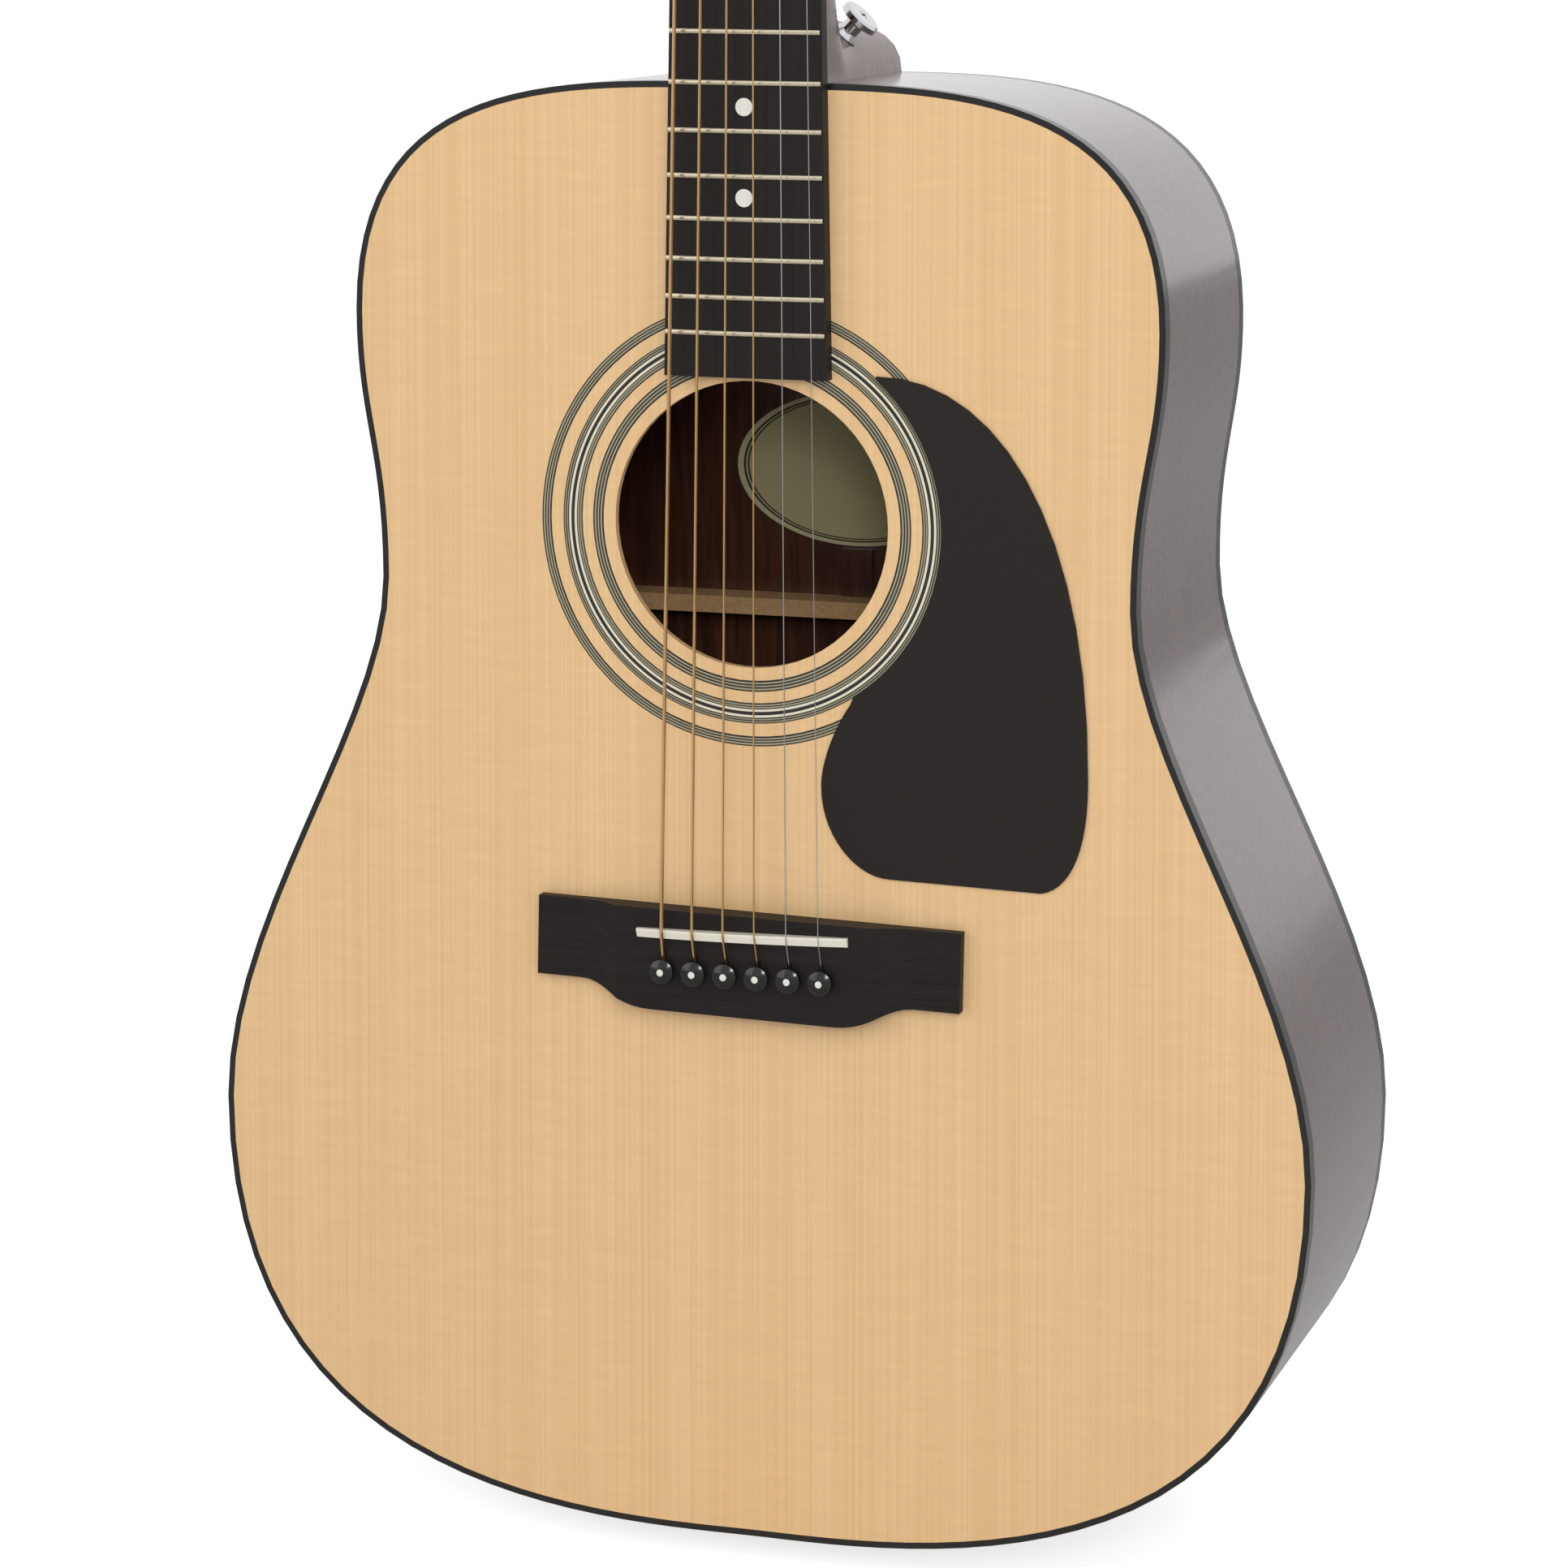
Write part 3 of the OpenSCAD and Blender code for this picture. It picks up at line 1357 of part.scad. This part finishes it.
module tuner_bushings() {
    color("silver") for (i = [0:string_count - 1]) at_tuner(i) translate([0, -post_stand, 0])
        difference() {
            union() {
                bar_y(bushing_flange_r, -washer_t, 0);
                bar_y(hex_r, -washer_t - hex_t, -washer_t, 6);
                bar_y(bushing_r, 0, bushing_l);
            }
            bar_y(post_r + run_clear, -washer_t - hex_t - over, bushing_l + over);
        }
}

module tuner_screws() {
    color("silver") for (i = [0:string_count - 1]) at_tuner(i)
        translate([0, ear_t, -ear_l]) rotate([0, 0, 180]) wood_screw(ear_t + 7.5);
}

// The wheel on a post: a gap between two teeth faces the worm
tooth_out = wheel_r + thread_top;
tooth_in = wheel_r - thread_root;
function deg(l, r) = l / r * 180 / PI;
function tooth(j) = let (
        a = 90 + (j + 0.5) * 360 / gear_teeth,
        low = deg(tooth_half + flank_slope * thread_root, tooth_in),
        high = deg(tooth_half - flank_slope * thread_top, tooth_out))
    [for (q = [[-low, tooth_in], [-high, tooth_out], [high, tooth_out], [low, tooth_in]])
        q[1] * [cos(a + q[0]), sin(a + q[0])]];

module tuner_post(i) {
    top = -post_stand - post_h;
    color("silver") at_tuner(i) difference() {
        union() {
            bar_y(post_r, top + 0.6, gear_mid + gear_w / 2 + 1);
            translate([0, top, 0]) rotate([-90, 0, 0])
                cylinder(r1 = post_r - 0.6, r2 = post_r, h = 0.6, $fn = 48);
            bar_y(foot_journal_r, gear_mid, housing_h);
            slab(gear_mid - gear_w / 2, gear_mid + gear_w / 2)
                polygon([for (j = [0:gear_teeth - 1]) each tooth(j)]);
        }
        translate([-post_r - over, -post_stand - post_hole_h, 0]) rotate([0, 90, 0])
            cylinder(r = 0.85, h = 2 * post_r + 2 * over, $fn = 24);
    }
}

// Thread of the worm: a ridge wound on the core, right-handed, crest at x = 0 toward the wheel
core_r = worm_r - thread_root;
ridge_sunk = 0.1;
module worm_thread() {
    foot = thread_half + flank_slope * (thread_root + ridge_sunk);
    crest = thread_half - flank_slope * thread_top;
    half = thread_turns / 2 * thread_steps;
    skin([for (k = [-half:half]) let (a = 270 + k * 360 / thread_steps, x = k / thread_steps * worm_lead)
        [for (q = [[foot, core_r - ridge_sunk], [crest, worm_r + thread_top],
                [-crest, worm_r + thread_top], [-foot, core_r - ridge_sunk]])
            [x + q[0], q[1] * cos(a), q[1] * sin(a)]]]);
}

knob_in = 14;
knob_from = 19;
knob_l = 15;
knob_w = 20;
knob_t = 6.5;

module tuner_knob(i) {
    end_r = knob_l / 2;
    color("silver") at_tuner(i) translate([0, gear_mid, shaft_dist]) {
        worm_thread();
        rotate([0, 90, 0]) {
            translate([0, 0, worm_room[0] + 0.3])
                cylinder(r = core_r, h = worm_room[1] - worm_room[0], $fn = 48);
            translate([0, 0, house_x[0] + 0.2])
                cylinder(r = worm_journal_r, h = over + worm_room[0] - house_x[0], $fn = 48);
            translate([0, 0, worm_room[1] - 0.6])
                cylinder(r = knob_shaft_r, h = knob_from - worm_room[1], $fn = 48);
            translate([0, 0, knob_in]) cylinder(r = 3, h = knob_from + 2 - knob_in, $fn = 48);
        }
        translate([knob_from + end_r, 0, 0]) slab(-knob_t / 2, knob_t / 2) {
            for (s = [-1, 1]) translate([0, s * (knob_w / 2 - end_r)]) circle(r = end_r, $fn = 64);
            square([knob_l, knob_w - knob_l], center = true);
        }
    }
}

soundboard();
back();
side(-1);  // side_bass
side(1);  // side_treble
neck_block();
tail_block();
top_lining();
back_lining();
top_binding();
back_binding();
rosette();
pickguard();
bridge();
saddle();
bridge_plate();
x_brace_bass();
x_brace_treble();
tone_bars();
finger_braces();
upper_brace();
back_braces();
back_strip();
label();
strap_button_tail();
strap_button_heel();
strap_button_screws();
neck();
fingerboard();
frets();
fret_markers();
nut();
headstock_veneer();
truss_rod();
truss_rod_nut();
truss_rod_cover();
truss_cover_screws();
tuner_housings();
tuner_bushings();
tuner_screws();
wound_strings();
plain_strings();
ball_ends();
tuner_post(0);  // tuner_post_1
tuner_post(1);  // tuner_post_2
tuner_post(2);  // tuner_post_3
tuner_post(3);  // tuner_post_4
tuner_post(4);  // tuner_post_5
tuner_post(5);  // tuner_post_6
tuner_knob(0);  // tuner_knob_1
tuner_knob(1);  // tuner_knob_2
tuner_knob(2);  // tuner_knob_3
tuner_knob(3);  // tuner_knob_4
tuner_knob(4);  // tuner_knob_5
tuner_knob(5);  // tuner_knob_6
bridge_pin(0);  // bridge_pin_1
bridge_pin(1);  // bridge_pin_2
bridge_pin(2);  // bridge_pin_3
bridge_pin(3);  // bridge_pin_4
bridge_pin(4);  // bridge_pin_5
bridge_pin(5);  // bridge_pin_6
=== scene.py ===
# %% [markdown]
# # An acoustic guitar, dressed over its imported solids
# The solids are the frame: they give every piece its place and size in metres. This file
# adds what solids can't hold: wood grain, lacquer, the ply lines of the rosette, and the
# small parts that are only there to be looked at.

import json
import math

import bmesh
import bpy
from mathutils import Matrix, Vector


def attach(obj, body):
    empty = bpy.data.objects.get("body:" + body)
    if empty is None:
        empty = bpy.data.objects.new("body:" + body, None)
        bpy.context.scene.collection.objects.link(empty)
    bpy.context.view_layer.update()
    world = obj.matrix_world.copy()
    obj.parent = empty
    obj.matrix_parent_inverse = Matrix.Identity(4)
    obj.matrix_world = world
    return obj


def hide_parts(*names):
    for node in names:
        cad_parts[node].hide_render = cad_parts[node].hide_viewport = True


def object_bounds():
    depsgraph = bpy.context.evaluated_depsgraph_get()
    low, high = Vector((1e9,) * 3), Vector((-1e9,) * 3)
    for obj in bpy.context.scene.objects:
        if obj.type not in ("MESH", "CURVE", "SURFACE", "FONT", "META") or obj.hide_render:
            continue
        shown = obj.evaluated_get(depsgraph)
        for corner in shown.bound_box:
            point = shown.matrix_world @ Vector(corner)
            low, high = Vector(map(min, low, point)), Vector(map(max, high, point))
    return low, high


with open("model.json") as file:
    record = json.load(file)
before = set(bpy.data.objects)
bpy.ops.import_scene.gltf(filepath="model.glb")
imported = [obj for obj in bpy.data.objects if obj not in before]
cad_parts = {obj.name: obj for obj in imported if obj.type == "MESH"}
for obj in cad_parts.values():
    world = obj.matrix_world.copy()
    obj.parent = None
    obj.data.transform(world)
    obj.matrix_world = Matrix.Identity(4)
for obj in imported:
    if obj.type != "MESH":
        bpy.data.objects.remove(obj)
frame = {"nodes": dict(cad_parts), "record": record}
solids = frame["nodes"]
cad_box = [list(corner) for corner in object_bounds()]
print("solids", len(solids), "box", cad_box)

# %% [markdown]
# ## The camera
# A long lens from the treble side, a little above the middle, looks slightly down and
# across at the soundboard. The frame is shifted so that the body fills it and the neck
# runs out at the top. A long lens keeps the outline of the body almost free of perspective.

# %% The camera
camera_data = bpy.data.cameras.new("camera")
camera_data.sensor_width = 36
camera_data.lens = 102.33
camera_data.shift_x = -0.1919
camera_data.shift_y = -0.3695
camera_data.clip_end = 60
camera = bpy.data.objects.new("camera", camera_data)
camera.location = (0.5151, -1.4740, 0.5765)
camera.rotation_euler = [math.radians(turn) for turn in (85.914, -0.28, 15.76)]
bpy.context.scene.collection.objects.link(camera)
bpy.context.scene.camera = camera
print("camera at", tuple(camera.location))

# %% [markdown]
# ## The floor and the air
# The guitar stands on a plain pale floor in a white room. The floor goes out past the
# horizon, so there is no edge. To the camera, and in reflections, the air is plain white,
# while the light that it gives to the guitar is softer.

# %% Helpers for materials
def new_material(name):
    """An empty material with its node list, its link list and its shader."""
    material = bpy.data.materials.new(name)
    material.use_nodes = True
    tree = material.node_tree
    return material, tree.nodes, tree.links, tree.nodes["Principled BSDF"]


def put(tree_nodes, links, kind, inputs=None, **settings):
    """Add a node. An input is linked if it is another node's output, and set if not."""
    made = tree_nodes.new(kind)
    for key, value in settings.items():
        setattr(made, key, value)
    for key, value in (inputs or {}).items():
        if hasattr(value, "is_linked") and hasattr(value, "links"):
            links.new(value, made.inputs[key])
        else:
            made.inputs[key].default_value = value
    return made


def colour(red, green, blue):
    """Screen values from 0 to 255 as the linear values that shaders work with."""
    return [((c / 255 + 0.055) / 1.055) ** 2.4 if c > 10 else c / 3300 for c in
            (red, green, blue)] + [1]


def multiply(nodes, links, tint, share):
    """A tint darkened or brightened by a share, through a colour mix node."""
    tint_in, share_in, tint_out = 6, 7, 2
    return put(nodes, links, "ShaderNodeMix", {"Factor": 1.0, tint_in: tint,
               share_in: share}, data_type="RGBA", blend_type="MULTIPLY").outputs[tint_out]


print("ivory in linear values", [round(part, 3) for part in colour(240, 236, 222)])

# %% The room
world = bpy.data.worlds.new("room")
bpy.context.scene.world = world
world.use_nodes = True
air, air_links = world.node_tree.nodes, world.node_tree.links
sky = air["Background"]
path = air.new("ShaderNodeLightPath")
seen = put(air, air_links, "ShaderNodeMath", {0: path.outputs["Is Camera Ray"],
           1: path.outputs["Is Glossy Ray"]}, operation="MAXIMUM")
through = put(air, air_links, "ShaderNodeMath", {0: seen.outputs[0],
              1: path.outputs["Is Transmission Ray"]}, operation="MAXIMUM")
level = put(air, air_links, "ShaderNodeMapRange", {"Value": through.outputs[0],
            "To Min": 0.42, "To Max": 1.0})
sky.inputs["Color"].default_value = (1, 1, 1, 1)
air_links.new(level.outputs[0], sky.inputs["Strength"])
bpy.context.scene.view_settings.view_transform = "Standard"
print("air strength", level.inputs["To Min"].default_value, "on the guitar")


# %% The floor
def floor_material():
    material, nodes, links, shader = new_material("pale_floor")
    shader.inputs["Base Color"].default_value = (0.9, 0.9, 0.9, 1)
    shader.inputs["Roughness"].default_value = 0.9
    shader.inputs["Specular IOR Level"].default_value = 0.1
    shown = nodes.new("ShaderNodeLightPath")
    glow = put(nodes, links, "ShaderNodeMath", {0: shown.outputs["Is Camera Ray"],
               1: 0.75}, operation="MULTIPLY")
    shader.inputs["Emission Color"].default_value = (1, 1, 1, 1)
    links.new(glow.outputs[0], shader.inputs["Emission Strength"])
    return material


floor_reach = 25
floor_height = cad_box[0][2] - 0.0005
shape = bmesh.new()
bmesh.ops.create_circle(shape, cap_ends=True, segments=96, radius=floor_reach)
bmesh.ops.translate(shape, verts=shape.verts, vec=(0, 0, floor_height))
floor_mesh = bpy.data.meshes.new("floor")
shape.to_mesh(floor_mesh)
shape.free()
floor = bpy.data.objects.new("floor", floor_mesh)
bpy.context.scene.collection.objects.link(floor)
floor.data.materials.append(floor_material())
print("floor at", round(floor_height, 4))

# %% [markdown]
# ## The lamps
# A big soft lamp stands above and to the right of the camera and lights the soundboard
# evenly. A small one close to the camera reaches through the soundhole to the label, and a
# weak one on the left softens the shadow beside the neck.

# %% The lamps
def lamp(name, place, aim, size, power):
    """A square lamp of a size in metres and a power in watts, turned to its aim."""
    data = bpy.data.lights.new(name, "AREA")
    data.shape, data.size, data.energy = "SQUARE", size, power
    made = bpy.data.objects.new(name, data)
    made.location = place
    made.rotation_euler = (Vector(aim) - Vector(place)).to_track_quat("-Z", "Y").to_euler()
    bpy.context.scene.collection.objects.link(made)
    return made


lamp("key_lamp", (1.2, -2.5, 1.9), (0, 0, 0.35), 1.4, 22.9)
lamp("hole_lamp", (0.62, -1.75, 0.85), (0, 0, 0.36), 0.3, 5.3)
lamp("fill_lamp", (-1.9, -1.8, 1.1), (0, 0, 0.3), 1.6, 9.1)

# %% [markdown]
# ## Plain finishes
# Plastic, bone and polished metal are never quite even: they are handled, buffed and
# slightly dusty. One cloudy noise moves their tint, gloss and height by a few percent. It is
# placed by the object's own coordinates, so it stays put when a piece moves.

# %% Plain finishes
def plain(name, tint, rough, metal=0.0, mottle=0.06, scale=400, bump=0.05, shine=0.5):
    """A finish of one tint, slightly uneven in tint, gloss and height."""
    material, nodes, links, shader = new_material(name)
    spot = nodes.new("ShaderNodeTexCoord").outputs["Object"]
    cloud = put(nodes, links, "ShaderNodeTexNoise", {"Vector": spot, "Scale": scale,
                "Detail": 4.0}).outputs["Fac"]
    base = colour(*tint)
    dark = [c * (1 - mottle) for c in base[:3]] + [1]
    ramp = nodes.new("ShaderNodeValToRGB")
    ramp.color_ramp.elements[0].color, ramp.color_ramp.elements[1].color = dark, base
    links.new(cloud, ramp.inputs["Fac"])
    links.new(ramp.outputs["Color"], shader.inputs["Base Color"])
    gloss = put(nodes, links, "ShaderNodeMapRange", {"Value": cloud, "To Min": rough * 0.85,
                "To Max": rough * 1.15})
    links.new(gloss.outputs[0], shader.inputs["Roughness"])
    relief = put(nodes, links, "ShaderNodeBump", {"Height": cloud, "Strength": bump,
                 "Distance": 0.0002})
    links.new(relief.outputs[0], shader.inputs["Normal"])
    shader.inputs["Metallic"].default_value = metal
    shader.inputs["Specular IOR Level"].default_value = shine
    return material


# %% [markdown]
# ## Wood
# A guitar's top is quarter-sawn spruce, so its growth rings show as fine straight lines
# along the grain. A noise stretched far along one axis gives such lines, and a slower one
# gives the broad bands between them. The two halves of a top or back are cut from one
# board and opened like a book: mirroring the noise about the centre line matches them.
# Rosewood and mahogany also get short dark pores, and spruce gets faint silk across.

# %% Wood finishes
def wood(name, light, dark, along, grain=(700, 8), rough=0.4, coat=0.0, matched=False,
         pores=0.0, fleck=0.0, contrast=(0.35, 0.7), shine=0.5):
    """Wood with its grain along one axis: fine lines, slow bands, and pores or silk."""
    material, nodes, links, shader = new_material(name)
    spot = nodes.new("ShaderNodeTexCoord").outputs["Object"]
    parts = put(nodes, links, "ShaderNodeSeparateXYZ", {0: spot})
    across = parts.outputs["X"]
    if matched:
        across = put(nodes, links, "ShaderNodeMath", {0: across},
                     operation="ABSOLUTE").outputs[0]
    spot = put(nodes, links, "ShaderNodeCombineXYZ", {0: across, 1: parts.outputs["Y"],
               2: parts.outputs["Z"]}).outputs[0]

    def stretched(fine, slow, detail, place=(0, 0, 0)):
        size = [fine, fine, fine]
        size["XYZ".index(along)] = slow
        turned = put(nodes, links, "ShaderNodeMapping", {"Vector": spot, "Scale": size,
                     "Location": place})
        return put(nodes, links, "ShaderNodeTexNoise", {"Vector": turned.outputs[0],
                   "Scale": 1.0, "Detail": detail}).outputs["Fac"]

    lines = stretched(grain[0], grain[1], 3)
    bands = stretched(grain[0] / 14, grain[1] / 3, 2, (5, 3, 2))
    sharp = put(nodes, links, "ShaderNodeMapRange", {"Value": lines, "From Min": contrast[0],
                "From Max": contrast[1]}).outputs[0]
    slow = put(nodes, links, "ShaderNodeMapRange", {"Value": bands, "From Min": 0.3,
               "From Max": 0.7}).outputs[0]
    lines_in, bands_in = 2, 3
    both = put(nodes, links, "ShaderNodeMix", {"Factor": 0.35, lines_in: sharp,
               bands_in: slow}, data_type="FLOAT").outputs[0]
    ramp = nodes.new("ShaderNodeValToRGB")
    ramp.color_ramp.elements[0].color = colour(*dark)
    ramp.color_ramp.elements[1].color = colour(*light)
    links.new(both, ramp.inputs["Fac"])
    tint = ramp.outputs["Color"]
    if pores:
        holes = put(nodes, links, "ShaderNodeMapRange", {"Value": stretched(grain[0] * 2.2,
                    grain[1] * 9, 2, (1, 2, 3)), "From Min": 0.30, "From Max": 0.42,
                    "To Min": 1 - pores, "To Max": 1.0}).outputs[0]
        tint = multiply(nodes, links, tint, holes)
    if fleck:
        turned = put(nodes, links, "ShaderNodeMapping", {"Vector": spot,
                     "Scale": (60, 60, 420)})
        silk = put(nodes, links, "ShaderNodeTexNoise", {"Vector": turned.outputs[0],
                   "Scale": 1.0, "Detail": 2.0}).outputs["Fac"]
        sheen = put(nodes, links, "ShaderNodeMapRange", {"Value": silk, "From Min": 0.4,
                    "From Max": 0.7, "To Min": 1.0, "To Max": 1 + fleck}).outputs[0]
        tint = multiply(nodes, links, tint, sheen)
    links.new(tint, shader.inputs["Base Color"])
    gloss = put(nodes, links, "ShaderNodeMapRange", {"Value": lines, "To Min": rough * 1.15,
                "To Max": rough * 0.9})
    links.new(gloss.outputs[0], shader.inputs["Roughness"])
    relief = put(nodes, links, "ShaderNodeBump", {"Height": lines, "Strength": 0.08,
                 "Distance": 0.0002})
    links.new(relief.outputs[0], shader.inputs["Normal"])
    shader.inputs["Coat Weight"].default_value = coat
    shader.inputs["Coat Roughness"].default_value = 0.16
    shader.inputs["Specular IOR Level"].default_value = shine
    return material


# %% [markdown]
# ## Rings and borders
# The rosette is made of thin dyed plies glued edge to edge and let into the top, so it shows
# as fine dark and pale rings. One ramp over the distance from the soundhole's centre draws
# them all. The label is bare paper, with the two fine border lines that such labels have.

# %% Finishes drawn by distance
def by_distance(name, centre, reach, stops, rough):
    """Constant bands over the distance from a centre, with x and z divided by reach."""
    material, nodes, links, shader = new_material(name)
    spot = nodes.new("ShaderNodeTexCoord").outputs["Object"]
    moved = put(nodes, links, "ShaderNodeMapping", {"Vector": spot,
                "Location": (-centre[0] / reach[0], 0, -centre[1] / reach[1]),
                "Scale": (1 / reach[0], 0, 1 / reach[1])})
    far = put(nodes, links, "ShaderNodeVectorMath", {0: moved.outputs[0]},
              operation="LENGTH").outputs["Value"]
    first, last = stops[0][0], stops[-1][0] + 0.001
    share = put(nodes, links, "ShaderNodeMapRange", {"Value": far, "From Min": first,
                "From Max": last}).outputs[0]
    ramp = nodes.new("ShaderNodeValToRGB")
    ramp.color_ramp.interpolation = "CONSTANT"
    for count, (place, tint) in enumerate(stops):
        where = (place - first) / (last - first)
        if count < 2:
            stop = ramp.color_ramp.elements[count]
            stop.position = where
        else:
            stop = ramp.color_ramp.elements.new(where)
        stop.color = colour(*tint)
    links.new(share, ramp.inputs["Fac"])
    fibre = put(nodes, links, "ShaderNodeTexNoise", {"Vector": spot, "Scale": 900.0,
                "Detail": 3.0}).outputs["Fac"]
    shade = put(nodes, links, "ShaderNodeMapRange", {"Value": fibre, "To Min": 0.88,
                "To Max": 1.06}).outputs[0]
    tint = multiply(nodes, links, ramp.outputs["Color"], shade)
    links.new(tint, shader.inputs["Base Color"])
    shader.inputs["Roughness"].default_value = rough
    return material


dark_ply, pale_ply, white_ply = (30, 28, 26), (168, 160, 130), (238, 230, 206)


def plies(inner, widths, tints):
    """Pairs of inner radius and tint for plies that lie side by side."""
    rings = []
    for width, tint in zip(widths, tints):
        rings.append((inner, tint))
        inner += width
    return rings


seven = [dark_ply, pale_ply] * 3 + [dark_ply]
five = [dark_ply, pale_ply] * 2 + [dark_ply]
rings = plies(0.0530, [0.00095] + [0.00053] * 5 + [0.0035], seven)
rings += plies(0.0608, [0.00072] + [0.00042] * 4 + [0.0008, 0.0012, 0.0008] + [0.00042] * 5,
               five + [white_ply, dark_ply, white_ply] + five)
rings += plies(0.0722, [0.0008] + [0.00047] * 5 + [0.0012], seven)
hole_centre, label_centre = (0, 0.36014), (0, 0.36514)
label_reach = (0.0455, 0.0285)
print("rosette plies", len(rings))

# %% [markdown]
# ## Dress the solids
# Each solid has a slot that names its stuff, such as spruce or bone. The slot picks the
# finish. Five pieces have a finish of their own, because their grain runs another way or
# they are cut from another board than the rest of their slot.

# %% The finishes of the guitar
finishes = {
    "spruce_top": wood("lacquered_spruce", (241, 203, 152), (230, 188, 134), "Z",
                       (900, 3), 0.42, 0.22, matched=True, fleck=0.04),
    "back": wood("lacquered_rosewood_back", (96, 58, 42), (48, 26, 20), "Z", (420, 5), 0.3,
                 0.9, matched=True, pores=0.3),
    "sides": wood("lacquered_rosewood_sides", (96, 60, 46), (50, 30, 25), "X", (380, 5), 0.3,
                  0.9, pores=0.3),
    "mahogany": wood("satin_mahogany", (112, 68, 46), (70, 40, 28), "Z", (420, 9), 0.35, 0.3,
                     pores=0.35),
    "pale_wood": wood("bare_spruce", (214, 176, 128), (190, 148, 100), "Y", (600, 6), 0.6),
    "ebony_z": wood("oiled_dark_board", (33, 26, 24), (17, 13, 12), "Z", (900, 12), 0.5, 0,
                    pores=0.35, shine=0.22),
    "ebony_x": wood("oiled_dark_bridge", (34, 27, 24), (18, 14, 13), "X", (900, 12), 0.5, 0,
                    pores=0.35, shine=0.22),
    "black": plain("black_plastic", (20, 19, 19), 0.25),
    "guard": plain("guard_plastic", (30, 24, 21), 0.5, shine=0.25),
    "bone": plain("bone_white", (240, 236, 222), 0.35, mottle=0.04),
    "pin": plain("pin_plastic", (10, 9, 9), 0.16, bump=0.01),
    "white": plain("white_dots", (238, 236, 228), 0.3, mottle=0.04),
    "paper": by_distance("label_paper", label_centre, label_reach,
                         [(0, (196, 188, 140)), (0.90, (70, 62, 44)), (0.912, (196, 188, 140)),
                          (0.93, (60, 54, 40)), (0.948, (214, 206, 164))], 0.85),
    "nickel": plain("nickel_silver", (214, 204, 180), 0.22, metal=1),
    "chrome": plain("polished_chrome", (214, 214, 218), 0.12, metal=1, bump=0.01),
    "steel": plain("bright_steel", (190, 190, 194), 0.25, metal=1),
    "bronze": plain("wound_bronze", (212, 172, 120), 0.3, metal=1),
    "brass": plain("plain_brass", (200, 164, 96), 0.3, metal=1),
    "rosette": by_distance("rosette_plies", hole_centre, (1, 1), rings, 0.35),
}
by_slot = {
    "spruce_top": "spruce_top", "dark_wood": "sides", "mahogany": "mahogany",
    "pale_wood": "pale_wood", "ebony_wood": "ebony_z", "black_plastic": "black",
    "rosette_ply": "rosette", "guard_plastic": "guard", "bone_plastic": "bone",
    "pin_plastic": "pin", "white_plastic": "white", "paper": "paper",
    "nickel_silver": "nickel", "chrome_metal": "chrome", "steel": "steel",
    "bronze": "bronze", "brass_metal": "brass",
}
own = {"back": "back", "back_strip": "back", "bridge": "ebony_x",
       "bridge_plate": "ebony_x", "headstock_veneer": "ebony_z"}
for part in frame["record"]["subparts"]:
    node = solids[part["node"]]
    finish = finishes[own.get(part["node"], by_slot[part["material_slot"]])]
    node.data.materials.clear()
    node.data.materials.append(finish)
print("finishes", len(finishes))

# %% [markdown]
# ## Bent and carved surfaces
# The sides are bent over a hot iron and sanded in one sweep, and the bindings follow them.
# The solids hold these as narrow flat faces. Copies with their shared corners joined can be
# shaded smooth, with a sharp edge kept only where the real piece has one.

# %% Smooth copies of the bent pieces
slot_of = {part["node"]: part["material_slot"] for part in frame["record"]["subparts"]}


def smooth_copy(name, crease=32):
    """Join doubled corners and shade smooth, keeping edges above the crease sharp."""
    source = solids[name]
    shape = bmesh.new()
    shape.from_mesh(source.data)
    bmesh.ops.remove_doubles(shape, verts=shape.verts, dist=1e-6)
    shape.transform(source.matrix_world)
    for face in shape.faces:
        face.smooth = True
    mesh = bpy.data.meshes.new("smooth_" + name)
    shape.to_mesh(mesh)
    shape.free()
    if "custom_normal" in mesh.attributes:
        mesh.attributes.remove(mesh.attributes["custom_normal"])
    mesh.set_sharp_from_angle(angle=math.radians(crease))
    mesh.materials.append(source.data.materials[0])
    made = bpy.data.objects.new("smooth_" + name, mesh)
    bpy.context.scene.collection.objects.link(made)
    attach(made, "guitar")
    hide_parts(name)
    return made


for name in ("side_bass", "side_treble", "top_binding", "back_binding", "neck"):
    print("smooth", name, len(smooth_copy(name).data.polygons), "faces")

# %% [markdown]
# ## Dots on the bridge pins
# Each pin is turned from black plastic and has a small white dot inlaid in its domed head.
# The dot is a flattened ball, sunk so that only its lens stands out. It rides on its pin, so
# it goes along when the pin is pulled.

# %% White dots
dot_radius = 0.0014
dot_flatness = 0.3
dot_sink = 0.0003
crown_depth = 0.0001
for name in sorted(node for node, kind in slot_of.items() if kind == "pin_plastic"):
    points = [solids[name].matrix_world @ corner.co for corner in solids[name].data.vertices]
    top = min(point.y for point in points)
    crown = [point for point in points if point.y < top + crown_depth]
    middle = sum(crown, Vector()) / len(crown)
    shape = bmesh.new()
    bmesh.ops.create_uvsphere(shape, u_segments=24, v_segments=10, radius=dot_radius)
    bmesh.ops.scale(shape, verts=shape.verts, vec=(1, dot_flatness, 1))
    bmesh.ops.translate(shape, verts=shape.verts, vec=(middle.x, top + dot_sink, middle.z))
    for face in shape.faces:
        face.smooth = True
    mesh = bpy.data.meshes.new("dot_" + name)
    shape.to_mesh(mesh)
    shape.free()
    mesh.materials.append(finishes["white"])
    dot = bpy.data.objects.new("dot_" + name, mesh)
    bpy.context.scene.collection.objects.link(dot)
    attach(dot, "bridge_pin_" + name.rsplit("_", 1)[1])
    print("dot on", name)
